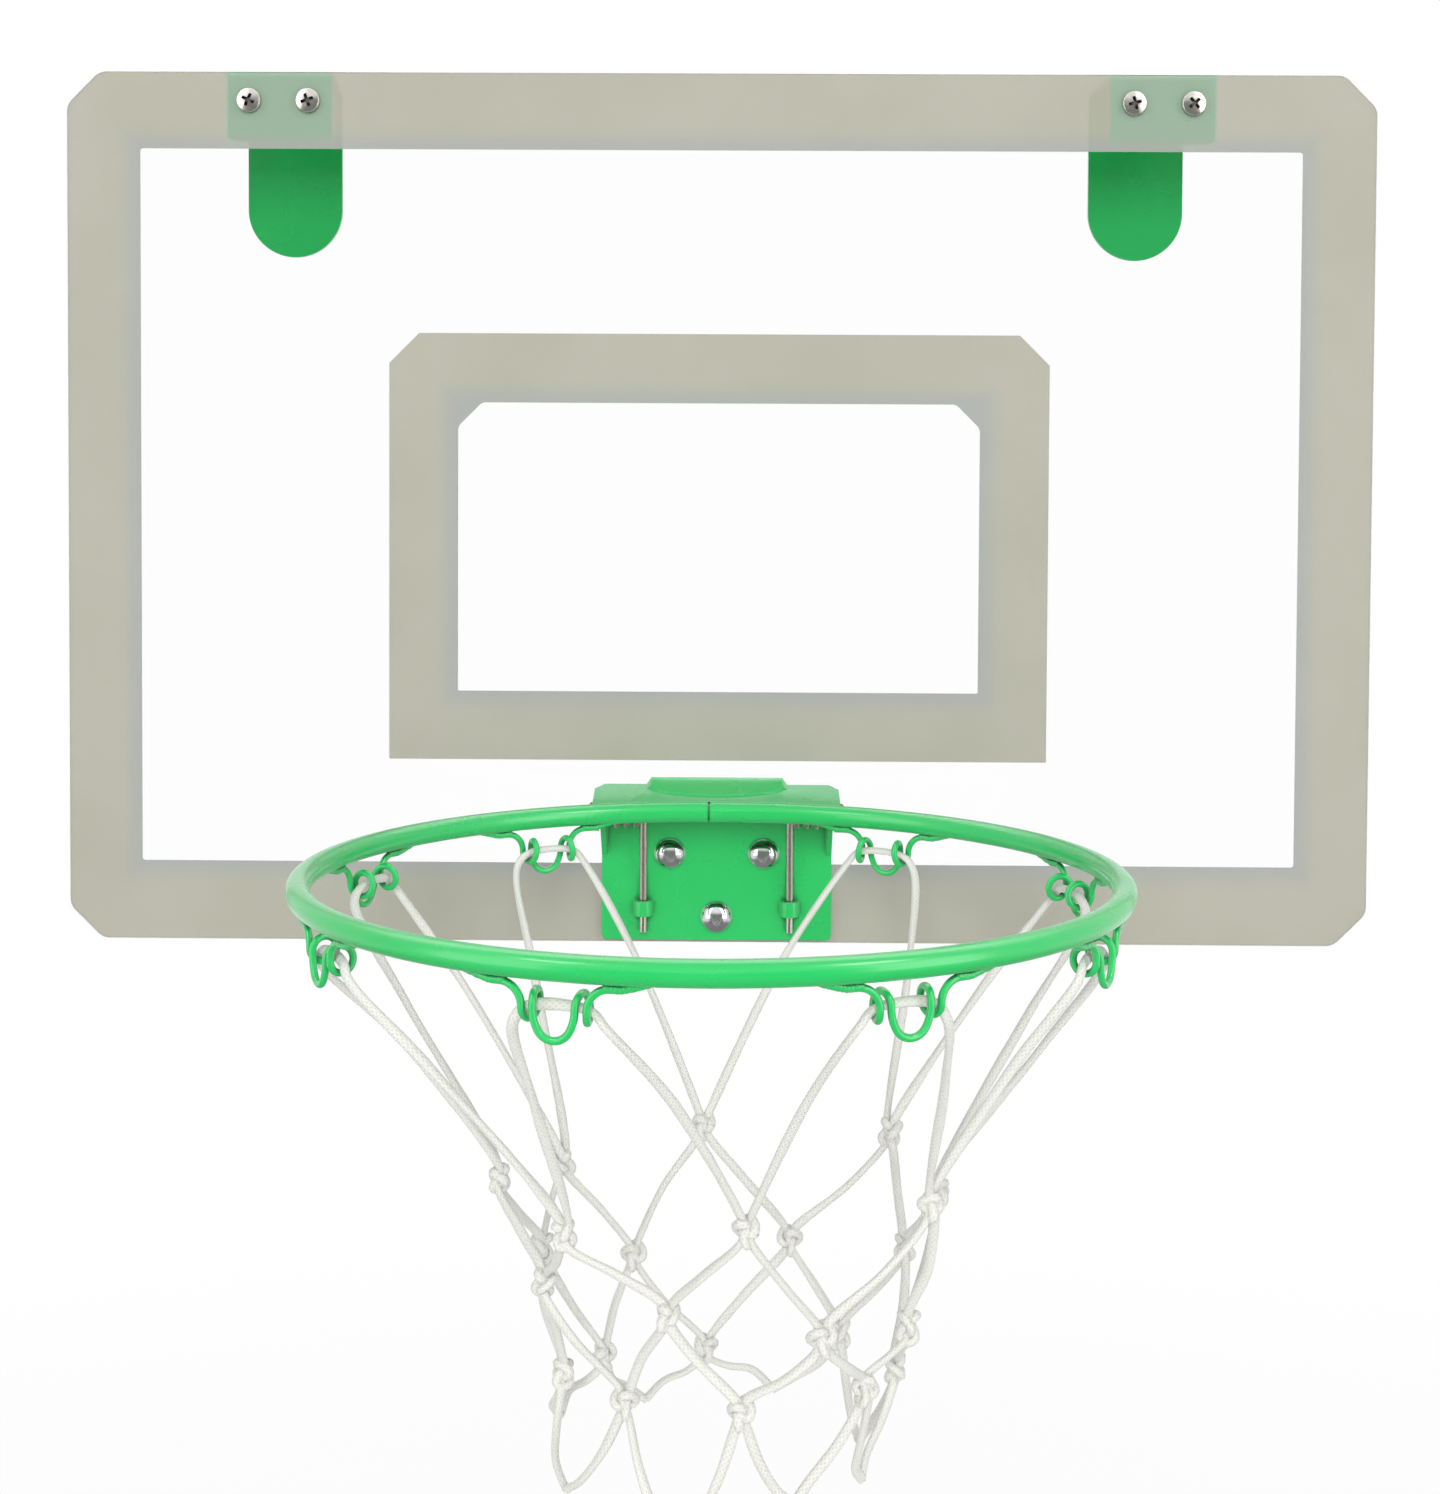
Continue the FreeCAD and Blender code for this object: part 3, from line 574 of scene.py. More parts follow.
@dataclass(frozen=True)
class PrintedFilm(Finish):
    """Printed frost film, a little see-through, cooler along its inner edge, with painted green
    light where the hook plates lie behind it.
    """

    window: Window
    colour: Colour = (158, 157, 143)
    other: Colour = (167, 165, 152)
    cool: Colour = (144, 150, 151)
    green: Colour = (140, 162, 142)
    lit: Colour = (179, 180, 179)
    skin: Skin = Skin(peel_size=0.7 * MM, tone_size=60.0 * MM, smudge_size=25.0 * MM)
    hooks: Pressed = Pressed(
        centre=154.3 * MM, half_width=18.5 * MM, foot=-24.5 * MM, soft=6.0 * MM)
    mottle: float = 0.4
    coolness: float = 0.6
    shown: float = 1.0
    cover: float = 0.75
    rough: Span = (0.42, 0.55)
    relief: float = 0.01 * MM

    def surface(self, graph: Graph) -> Socket:
        """Build the film."""
        skin = self.skin.add(graph)
        inner = graph.times(self.window.add(graph)["Mask"], self.coolness)
        # painted light: the hook plates' green tinted into the film's colour, beyond what its alpha
        # really shows of them
        hooks = graph.times(self.hooks.add(graph)["Mask"], self.shown)
        tone = graph.tint(graph.times(skin["Tone"], self.mottle), self.colour, self.other)
        film = graph.result("ShaderNodeBsdfPrincipled", {
            "Base Color": graph.tint(hooks, graph.tint(inner, tone, self.cool), self.green),
            "Roughness": graph.ramp(skin["Smudge"], 0.0, 1.0, *self.rough),
            "Alpha": self.cover,
            "Specular IOR Level": 0.3,
            "Normal": self.bump(graph, skin["Height"], self.relief),
        })
        return self.shadowed(graph, film, self.lit)


@dataclass(frozen=True)
class Metal(Finish):
    """Bare or plated metal with fine polishing lines and painted shade in its creases."""

    colour: Colour = (236, 236, 238)
    dull: Colour = (205, 205, 208)
    dirt: Colour = (24, 22, 20)
    polish: Scratches = Scratches(size=0.6 * MM)
    crevice: Crevice = Crevice(reach=1.6 * MM)
    haze: float = 0.5
    grime: float = 0.5
    rough: Span = (0.05, 0.12)
    relief: float = 0.002 * MM

    def surface(self, graph: Graph) -> Socket:
        """Build the metal."""
        lines = self.polish.add(graph)
        # painted shade: creases and recesses darken towards near-black by ambient occlusion
        covered = graph.times(self.crevice.add(graph)["Mask"], self.grime)
        clean = graph.tint(graph.times(lines["Haze"], self.haze), self.colour, self.dull)
        return graph.result("ShaderNodeBsdfPrincipled", {
            "Base Color": graph.tint(covered, clean, self.dirt),
            "Metallic": 1.0,
            "Roughness": graph.ramp(lines["Haze"], 0.0, 1.0, *self.rough),
            "Normal": self.bump(graph, lines["Height"], self.relief),
        })


@dataclass(frozen=True)
class SpringWire(Finish):
    """Drawn spring wire with die lines along it."""

    colour: Colour = (226, 215, 206)
    dull: Colour = (196, 184, 175)
    die: Drawn = Drawn(lines=36.0)
    line_span: Span = (0.2, 0.8)
    rough: Span = (0.22, 0.34)
    relief: float = 0.004 * MM

    def surface(self, graph: Graph) -> Socket:
        """Build the wire."""
        height = self.die.add(graph)["Height"]
        return graph.result("ShaderNodeBsdfPrincipled", {
            "Base Color": graph.tint(height, self.dull, self.colour),
            "Metallic": 1.0,
            "Roughness": graph.ramp(height, *self.line_span, *self.rough),
            "Normal": self.bump(graph, height, self.relief),
        })


@dataclass(frozen=True)
class BraidedCord(Finish):
    """Soft white braided cord."""

    colour: Colour = (208, 208, 202)
    shade: Colour = (172, 171, 164)
    braid: Braid = Braid(carriers=3.0, pitch=3.6 * MM)
    skin: Skin = Skin(peel_size=0.3 * MM, tone_size=20.0 * MM, smudge_size=10.0 * MM)
    gap: float = 0.4
    fibre: float = 0.35
    rough: Span = (0.78, 0.9)
    relief: float = 0.14 * MM

    def surface(self, graph: Graph) -> Socket:
        """Build the cord."""
        braid = self.braid.add(graph)
        skin = self.skin.add(graph)
        gap = graph.times(braid["Gap"], self.gap)
        height = graph.math("ADD", braid["Height"], graph.times(skin["Height"], self.fibre))
        return graph.result("ShaderNodeBsdfPrincipled", {
            "Base Color": graph.tint(gap, self.colour, self.shade),
            "Roughness": graph.ramp(skin["Smudge"], 0.0, 1.0, *self.rough),
            "Specular IOR Level": 0.2,
            "Sheen Weight": 0.25,
            "Normal": self.bump(graph, height, self.relief),
        })


@dataclass(frozen=True)
class FloorPaper(Finish):
    """Pale paper, white to the camera, dusky in mirrors, fading out towards its edge."""

    colour: Colour = (244, 244, 243)
    glow: float = 0.85
    dusk: float = 0.22
    radius: float = 3.0
    fade: Span = (0.4, 0.98)

    def surface(self, graph: Graph) -> Socket:
        """Build the paper."""
        flat = graph.result("ShaderNodeVectorMath", {0: graph.place(), 1: (1.0, 1.0, 0.0)},
                            operation="MULTIPLY")
        away = graph.node("ShaderNodeVectorMath", {0: flat}, operation="LENGTH").outputs["Value"]
        rays = graph.rays()
        seen = graph.most(rays["Is Camera Ray"], rays["Is Transmission Ray"])
        paper = graph.result("ShaderNodeBsdfDiffuse", {"Color": linear(self.colour)})
        glow = graph.result("ShaderNodeEmission", {"Strength": 1.0})
        white = graph.mixed(graph.times(seen, self.glow), paper, glow)
        dusk = graph.result("ShaderNodeEmission", {"Strength": self.dusk})
        mirrored = graph.math("GREATER_THAN", rays["Is Glossy Ray"], rays["Is Transmission Ray"])
        gone = graph.result("ShaderNodeBsdfTransparent")
        fade = graph.ramp(away, *(share * self.radius for share in self.fade))
        return graph.mixed(fade, graph.mixed(mirrored, white, dusk), gone)


PAINT = SprayPaint("green_enamel")
CLEAR = ClearSheet("clear_board_sheet")
SAWN = SawnEdge("sawn_edge")
BORDER = PrintedFilm("frost_border", Window(202.9 * MM, bottom=-275.0 * MM, top=-24.7 * MM))
TARGET = PrintedFilm(
    "frost_target", Window(91.4 * MM, bottom=-214.3 * MM, top=-112.9 * MM), shown=0.0)
CHROME = Metal("polished_chrome")
NICKEL = Metal("nickel_plate", (236, 232, 224), (214, 208, 198), rough=(0.2, 0.34), grime=0.95)
ZINC = Metal("zinc_coat", (190, 194, 200), (150, 154, 162), rough=(0.28, 0.46),
             polish=Scratches(size=1.2 * MM))
DARK_STEEL = Metal("oiled_steel", (96, 98, 100), (70, 72, 74), rough=(0.3, 0.45))
WIRE = SpringWire("spring_wire")
CORD = BraidedCord("white_braid")
FLOOR = FloorPaper("pale_floor")


def mesh_object(name: str, mesh: bpy.types.Mesh) -> Piece:
    """Put a mesh into the scene as a new object at the origin.

    Args:
        name: the object's name.
        mesh: its mesh.

    Returns:
        The object.
    """
    made = bpy.data.objects.new(name, mesh)
    bpy.context.scene.collection.objects.link(made)
    return made


def settled(holder: Piece, name: str) -> Piece:
    """Turn an object with its modifiers into a plain piece, and remove the object.

    Args:
        holder: the object to evaluate.
        name: the new piece's name.

    Returns:
        The piece, a plain mesh.
    """
    graph = bpy.context.evaluated_depsgraph_get()
    mesh = bpy.data.meshes.new_from_object(
        holder.evaluated_get(graph), preserve_all_data_layers=True, depsgraph=graph)
    bpy.data.objects.remove(holder)
    mesh.name = name
    return mesh_object(name, mesh)


def path_mesh(name: str, lines: Sequence[np.ndarray]) -> bpy.types.Mesh:
    """Mesh of edges along one or more lines of points.

    Args:
        name: the mesh's name.
        lines: each line as rows of X, Y and Z in metres.

    Returns:
        The mesh of edges.
    """
    points: list[list[float]] = []
    edges: list[tuple[int, int]] = []
    for line in lines:
        first = len(points)
        points.extend(np.asarray(line, float).tolist())
        edges.extend((index, index + 1) for index in range(first, len(points) - 1))
    mesh = bpy.data.meshes.new(name)
    mesh.from_pydata(points, edges, [])
    return mesh


def smooth_line(points: Sequence[Sequence[float]], step: float) -> np.ndarray:
    """Smooth line through points, with no overshoot where they bunch up.

    Args:
        points: the points that it passes through.
        step: distance between samples.

    Returns:
        The samples, one row each.
    """
    given = np.asarray(points, float)
    ends = np.vstack([2 * given[0] - given[1], given, 2 * given[-1] - given[-2]])
    samples = [given[:1]]
    for level in zip(ends, ends[1:], ends[2:], ends[3:]):
        knots = [0.0]
        for before, after in zip(level, level[1:]):
            knots.append(knots[-1] + np.sqrt(np.linalg.norm(after - before)))
        count = max(2, math.ceil(np.linalg.norm(level[2] - level[1]) / step))
        at = np.linspace(knots[1], knots[2], count + 1)[1:, None]
        for spans in (((0, 1), (1, 2), (2, 3)), ((0, 2), (1, 3)), ((1, 2),)):
            shares = [(at - knots[low]) / (knots[high] - knots[low]) for low, high in spans]
            level = [(1 - share) * before + share * after
                     for share, before, after in zip(shares, level, level[1:])]
        samples.append(level[0])
    return np.vstack(samples)


@dataclass(frozen=True)
class PathPiece(Recipe):
    """Piece that a geometry node tree makes along paths."""

    kind: ClassVar[str] = "GeometryNodeTree"
    outcome: ClassVar[str] = "Geometry"
    extras: ClassVar[dict[str, str]] = {"Path": "Geometry", "Material": "Material"}

    def dressed(self, graph: Graph, given: Outputs, shape: Socket) -> Results:
        """Smooth a shape, make its copies real and give it its material.

        Args:
            graph: the tree's graph.
            given: the tree's inputs.
            shape: the shape.

        Returns:
            The tree's result by name.
        """
        smooth = graph.result("GeometryNodeSetShadeSmooth", {"Geometry": shape})
        real = graph.result("GeometryNodeRealizeInstances", {"Geometry": smooth})
        return {"Piece": graph.result(
            "GeometryNodeSetMaterial", {"Geometry": real, "Material": given["Material"]})}

    def build(self, name: str, lines: Sequence[np.ndarray], finish: Finish) -> Piece:
        """Make the piece.

        Args:
            name: the new piece's name.
            lines: the paths, in metres.
            finish: its finish.

        Returns:
            The piece, as a plain mesh.
        """
        holder = mesh_object(name + "_path", path_mesh(name + "_path", lines))
        modifier = holder.modifiers.new("shape", "NODES")
        modifier.node_group = self.group()
        values = {label(item.name): getattr(self, item.name) for item in fields(self)}
        values["Material"] = finish.material()
        for item in modifier.node_group.interface.items_tree:
            if item.name in values:
                modifier[item.identifier] = values[item.name]
        return settled(holder, name)


@dataclass(frozen=True)
class SweptLine(PathPiece):
    """Round or flattened bar along a path."""

    radius: float
    sides: int = 12
    flatten: float = 1.0
    step: float = 1.0 * MM
    uneven: float = 0.0
    twist: float = 0.0
    sway_scale: ClassVar[float] = 14.0
    lump_scale: ClassVar[float] = 90.0
    lump_mean: ClassVar[float] = 0.5
    seam: ClassVar[float] = 0.002 * MM

    def fill(self, graph: Graph, given: Outputs) -> Results:
        """Sweep a ring, and mark each corner with its place along and around the bar."""
        curve = graph.result("GeometryNodeMeshToCurve", {"Mesh": given["Path"]})
        even = graph.result("GeometryNodeResampleCurve", {
            "Curve": curve, "Length": given["Step"]}, mode="LENGTH")
        sway = graph.result("ShaderNodeTexNoise", {"Scale": self.sway_scale, "Detail": 0.0})
        turned = graph.result("GeometryNodeSetCurveTilt", {
            "Curve": even, "Tilt": graph.times(sway, given["Twist"])})
        ring = graph.result("GeometryNodeCurveArc", {
            "Resolution": graph.math("ADD", given["Sides"], 1.0), "Radius": given["Radius"],
            "Sweep Angle": math.tau}, mode="RADIUS")
        noted = []
        for line, reading in ((turned, "Length"), (ring, "Factor")):
            kept = graph.node("GeometryNodeCaptureAttribute", {"Geometry": line})
            kept.capture_items.new("FLOAT", reading)
            source = graph.node("GeometryNodeSplineParameter").outputs[reading]
            graph.feed(kept.inputs[reading], source)
            noted.extend((kept.outputs[0], kept.outputs[1]))
        path, along, ring, around = noted
        squeeze = graph.result("ShaderNodeCombineXYZ", {0: 1.0, 1: given["Flatten"], 2: 1.0})
        lumps = graph.result("ShaderNodeTexNoise", {"Scale": self.lump_scale, "Detail": 1.0})
        swell = graph.times(graph.minus(lumps, self.lump_mean), given["Uneven"])
        bar = graph.result("GeometryNodeCurveToMesh", {
            "Curve": path, "Scale": graph.math("ADD", swell, 1.0), "Fill Caps": True,
            "Profile Curve": graph.result(
                "GeometryNodeTransform", {"Geometry": ring, "Scale": squeeze})})
        marked = graph.node("GeometryNodeStoreNamedAttribute", {
            "Geometry": bar, "Name": UV_NAME}, data_type="FLOAT2", domain="CORNER")
        value = next(item for item in marked.inputs if item.name == "Value" and item.enabled)
        graph.feed(value, graph.result("ShaderNodeCombineXYZ", {0: along, 1: around}))
        return self.dressed(graph, given, graph.result("GeometryNodeMergeByDistance", {
            "Geometry": marked.outputs[0], "Distance": self.seam}))


@dataclass(frozen=True)
class WeldRun(PathPiece):
    """Row of overlapping weld ripples along a path."""

    radius: float = 1.2 * MM
    spacing: float = 0.5 * MM
    seed: int = 5
    size_span: ClassVar[Span] = (0.93, 1.07)

    def fill(self, graph: Graph, given: Outputs) -> Results:
        """Set a ball on each step of the path."""
        curve = graph.result("GeometryNodeMeshToCurve", {"Mesh": given["Path"]})
        points = graph.node("GeometryNodeCurveToPoints", {
            "Curve": curve, "Length": given["Spacing"]}, mode="LENGTH").outputs
        ripple = graph.result("GeometryNodeMeshIcoSphere", {
            "Radius": given["Radius"], "Subdivisions": 2})
        size = graph.node("FunctionNodeRandomValue", {
            2: self.size_span[0], 3: self.size_span[1], "Seed": given["Seed"]}, data_type="FLOAT")
        return self.dressed(graph, given, graph.result("GeometryNodeInstanceOnPoints", {
            "Points": points["Points"], "Instance": ripple,
            "Rotation": points["Rotation"], "Scale": size.outputs[1]}))


@dataclass
class Dresser:
    """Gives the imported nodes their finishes, and makes softened copies of them."""

    nodes: dict[str, Piece]
    merged: float = 0.001 * MM
    flat: float = math.radians(0.1)
    cut_room: float = 0.0001 * MM
    sharp: float = math.radians(40)

    def paint(self, finish: Finish, *nodes: str) -> None:
        """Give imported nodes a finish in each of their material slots.

        Args:
            finish: the finish.
            *nodes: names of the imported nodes.
        """
        for node in nodes:
            for slot in self.nodes[node].material_slots:
                slot.material = finish.material()
            LOG.info("%s carries %s", node, finish.title)

    def softened(self, node: str, name: str, width: float, finish: Finish,
                 cuts: Sequence[float] = ()) -> Piece:
        """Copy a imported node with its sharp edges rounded.

        Args:
            node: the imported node.
            name: the new piece's name.
            width: size of the rounded edges.
            finish: its finish.
            cuts: places along X where its faces are divided, so that they can be bent there.

        Returns:
            The copy, not yet riding on a body.
        """
        shell = bmesh.new()
        shell.from_mesh(self.nodes[node].data)
        bmesh.ops.remove_doubles(shell, verts=shell.verts, dist=self.merged)
        bmesh.ops.dissolve_limit(
            shell, angle_limit=self.flat, verts=shell.verts, edges=shell.edges, delimit=set())
        for place in cuts:
            bmesh.ops.bisect_plane(
                shell, geom=[*shell.verts, *shell.edges, *shell.faces],
                plane_co=(place, 0, 0), plane_no=(1, 0, 0), dist=self.cut_room)
        mesh = bpy.data.meshes.new(name)
        shell.to_mesh(mesh)
        shell.free()
        mesh.shade_smooth()
        holder = mesh_object(name + "_plain", mesh)
        bevel = holder.modifiers.new("edges", "BEVEL")
        bevel.width = width
        bevel.segments = 2
        bevel.limit_method = "ANGLE"
        bevel.angle_limit = self.sharp
        holder.modifiers.new("triangles", "TRIANGULATE").min_vertices = 5
        holder.modifiers.new("normals", "WEIGHTED_NORMAL").keep_sharp = True
        made = settled(holder, name)
        made.data.materials.clear()
        made.data.materials.append(finish.material())
        return made

    def stand_in(self, piece: Piece, body: Body, slot: Slot, *nodes: str) -> None:
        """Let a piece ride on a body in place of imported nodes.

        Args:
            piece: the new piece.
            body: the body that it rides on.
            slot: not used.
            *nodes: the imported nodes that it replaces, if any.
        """
        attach(piece, body.value)
        if nodes:
            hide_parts(*nodes)
        LOG.info("%s rides on %s for %s", piece.name, body.value, ", ".join(nodes) or "itself")


@dataclass
class BoardAssembly:
    """Clear board with its printed films, door hooks and screws."""

    dresser: Dresser
    front: float = -5.0 * MM
    back: float = -2.0 * MM
    film_front: float = -10.0 * MM
    air: float = 0.03 * MM
    hook_round: float = 0.3 * MM
    facing: float = 0.5

    def build(self) -> None:
        """Dress the board's pieces."""
        board = self.thinned(
            "backboard", "clear_board", CLEAR, self.front + self.air, self.back - self.air)
        board.data.materials.append(SAWN.material())
        for face in board.data.polygons:
            face.material_index = 0 if abs(face.normal.y) > self.facing else 1
        self.dresser.stand_in(board, Body.BOARD, Slot.CLEAR, "backboard")
        for node, name, finish in (("border_print", "border_film", BORDER),
                                   ("target_print", "target_film", TARGET)):
            film = self.thinned(node, name, finish, self.film_front, self.front - self.air)
            self.dresser.stand_in(film, Body.BOARD, Slot.PRINT, node)
        for node, name in (("left_door_hook", "left_hook"), ("right_door_hook", "right_hook")):
            hook = self.dresser.softened(node, name, self.hook_round, PAINT)
            self.dresser.stand_in(hook, Body.BOARD, Slot.PAINT, node)
        self.dresser.paint(NICKEL, "hook_screws")

    def thinned(self, node: str, name: str, finish: Finish, front: float, back: float) -> Piece:
        """Copy a flat node, thinned so that a sliver of air parts it from its neighbours.

        Args:
            node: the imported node.
            name: the new piece's name.
            finish: its finish.
            front: foremost place that its faces may have.
            back: rearmost place that its faces may have.

        Returns:
            The copy.
        """
        mesh = self.dresser.nodes[node].data.copy()
        mesh.name = name
        for corner in mesh.vertices:
            corner.co.y = min(max(corner.co.y, front), back)
        mesh.materials.clear()
        mesh.materials.append(finish.material())
        return mesh_object(name, mesh)


@dataclass
class TorsionSpring:
    """Torsion spring: foot and long leg in a bridge, coil on the pin, short leg under the rim."""

    side: Side
    wire: float = 2.6 * MM
    coil: float = 7.6 * MM
    turns: int = 3
    turn_points: int = 24
    gap: float = 0.7 * MM
    room: float = 0.3 * MM
    ear_inside: float = 38.4 * MM
    foot_z: float = -298.5 * MM
    knee_z: float = -287.0 * MM
    leg_y: float = -8.9 * MM
    bend: float = 8.0 * MM
    leg_start: float = 4.16 * MM
    short_leg: float = 9.0 * MM
    pin_y: float = -17.0 * MM
    pin_z: float = -255.6 * MM
    sample: float = 0.4 * MM

    def route(self) -> tuple[np.ndarray, float, float]:
        """Work out the wire's route.

        Returns:
            Its points, and where along X its long and short legs stand.
        """
        radius = self.coil / 2
        height = self.pin_z - self.knee_z
        depth = self.leg_y - self.pin_y
        lean = math.atan2(depth, height) - math.asin(radius / math.hypot(depth, height))
        sweep = math.radians(90) + RIM_TILT + math.tau * self.turns - lean
        rise = (self.wire + self.gap) / math.tau
        run = rise * sweep + self.wire * rise / math.hypot(rise, radius)
        end_x = self.ear_inside - self.room - self.wire / 2
        leg_x = end_x - run
        reach = self.bend * math.tan(lean / 2)
        way = np.array([0, -math.sin(lean), math.cos(lean)])
        knee = np.array([leg_x, self.leg_y, self.knee_z])
        points = [np.array([leg_x, self.leg_y, self.foot_z]),
                  knee - np.array([0, 0, reach]), knee + way * reach]
        for turned in np.linspace(0, sweep, self.turn_points * self.turns):
            points.append(np.array([
                leg_x + rise * turned, self.pin_y + radius * math.cos(lean + turned),
                self.pin_z + radius * math.sin(lean + turned)]))
        flat = np.array([0, -math.cos(RIM_TILT), -math.sin(RIM_TILT)])
        last = np.array([end_x, points[-1][1], points[-1][2]])
        points.extend((last + flat * self.leg_start, last + flat * self.short_leg))
        line = smooth_line(points, self.sample)
        line[:, 0] *= self.side.value
        return line, leg_x, end_x

    def build(self, name: str, node: str) -> None:
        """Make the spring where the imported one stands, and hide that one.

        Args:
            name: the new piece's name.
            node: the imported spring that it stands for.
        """
        line, leg_x, end_x = self.route()
        spring = SweptLine(self.wire / 2, sides=16, step=0.5 * MM).build(name, [line], WIRE)
        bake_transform(spring)
        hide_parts(node)
        LOG.info("%s twists between the board and the rim for %s", name, node)


@dataclass
class Bracket:
    """Mounting plate with its bolts, pin and springs."""

    dresser: Dresser
    edge_round: float = 0.35 * MM

    def build(self) -> None:
        """Dress the bracket's pieces."""
        plate = self.dresser.softened("mounting_plate", "bracket_plate", self.edge_round, PAINT)
        self.dresser.stand_in(plate, Body.BOARD, Slot.PAINT, "mounting_plate")
        self.dresser.paint(CHROME, "bracket_bolts")
        self.dresser.paint(ZINC, "bracket_washers", "bracket_nuts")
        self.dresser.paint(DARK_STEEL, "hinge_pin", "pin_cap")
        TorsionSpring(Side.LEFT).build("spring_left", "left_spring")
        TorsionSpring(Side.RIGHT).build("spring_right", "right_spring")


@dataclass
class Rim:
    """Ring with its carrier plate and net clips."""

    dresser: Dresser
    centre: Point = (0.0, -144.8 * MM, -253.0 * MM)
    radius: float = 117.8 * MM
    clip_angles: tuple[float, ...] = (18.0, 61.0, 119.0, 157.0, 209.0, 252.0, 295.0, 334.0)
    foot_along: tuple[float, ...] = (13.5 * MM, 17.2 * MM, 20.0 * MM, 25.0 * MM)
    foot_drop: tuple[float, ...] = (4.25 * MM, 4.4 * MM, 3.7 * MM, 2.3 * MM)
    foot_points: int = 24
    edge_round: float = 0.35 * MM
    plate_rear: float = 54.73 * MM
    plate_top: float = -240.46 * MM
    plate_thick: float = 1.8 * MM
    plate_skin: float = 0.02 * MM
    pad_half: float = 25.3 * MM
    pad_depth: float = 12.8 * MM
    pad_lift: float = 1.0 * MM
    pad_strips: int = 22
    pad_bow: float = 0.48
    pad_sink: float = 1.0 * MM

    def build(self) -> None:
        """Dress the rim's pieces."""
        cuts = np.linspace(-self.pad_half, self.pad_half, self.pad_strips + 1)[1:-1]
        carrier = self.dresser.softened("rim_plate", "rim_carrier", self.edge_round, PAINT, cuts)
        self.bow_pad(carrier)
        self.dresser.stand_in(carrier, Body.RIM, Slot.PAINT, "rim_plate")
        clips = [f"net_clip_{index + 1}" for index in range(len(self.clip_angles))]
        self.dresser.paint(PAINT, "rim_ring", *clips)
        welds = WeldRun().build("clip_welds", self.foot_lines(), PAINT)
        self.dresser.stand_in(welds, Body.RIM, Slot.PAINT)

    def bow_pad(self, carrier: Piece) -> None:
        """Bow the front of the pressed pad into an arc, and let it run out low there.

        Args:
            carrier: the rim's plate, with the pad as packed.
        """
        ahead = Vector((0, -math.cos(RIM_TILT), -math.sin(RIM_TILT)))
        up = Vector((0, -math.sin(RIM_TILT), math.cos(RIM_TILT)))
        slack = self.edge_round
        for corner in carrier.data.vertices:
            depth = corner.co.dot(ahead) - self.plate_rear
            height = corner.co.dot(up) - self.plate_top
            share = corner.co.x / self.pad_half
            inside = abs(share) <= 1 and -slack <= depth <= self.pad_depth + slack
            if not inside or height < -self.plate_thick - slack:
                continue
            lift = height / self.pad_lift if height > 0 else 1 + height / self.plate_thick
            sunk = self.pad_sink * max(depth, 0) / self.pad_depth * min(max(lift, 0), 1)
            if abs(height) < self.plate_skin:
                sunk = 0.0
            corner.co -= ahead * (depth * self.pad_bow * share ** 2) + up * sunk

    def foot_lines(self) -> list[np.ndarray]:
        """Lines along the clips' feet and on past their ends, rising into the ring.

        Returns:
            One line for each foot.
        """
        lines = []
        run = np.linspace(self.foot_along[0], self.foot_along[-1], self.foot_points)
        drops = np.interp(run, self.foot_along, self.foot_drop)
        for angle in self.clip_angles:
            for way in (-1, 1):
                turns = math.radians(angle) + way * run / self.radius
                lines.append(np.column_stack([
                    self.centre[0] + self.radius * np.cos(turns),
                    self.centre[1] + self.radius * np.sin(turns), self.centre[2] - drops]))
        return lines


@dataclass
class Knot:
    """One knot of the net, by its angle in degrees, and drop and radius in millimetres."""

    angle: float
    drop: float
    radius: float

    def frame(self) -> tuple[np.ndarray, np.ndarray]:
        """Return the directions outwards and round the net at the knot."""
        cosine, sine = math.cos(math.radians(self.angle)), math.sin(math.radians(self.angle))
        return np.array([cosine, sine, 0]), np.array([-sine, cosine, 0])

    def place(self, centre: np.ndarray) -> np.ndarray:
        """Return the knot's place under the ring's centre."""
        return centre + self.frame()[0] * (self.radius * MM) - np.array([0, 0, self.drop * MM])


def knot_row(*places: Point) -> list[Knot]:
    """Row of knots from their angles, drops and radii."""
    return [Knot(*place) for place in places]


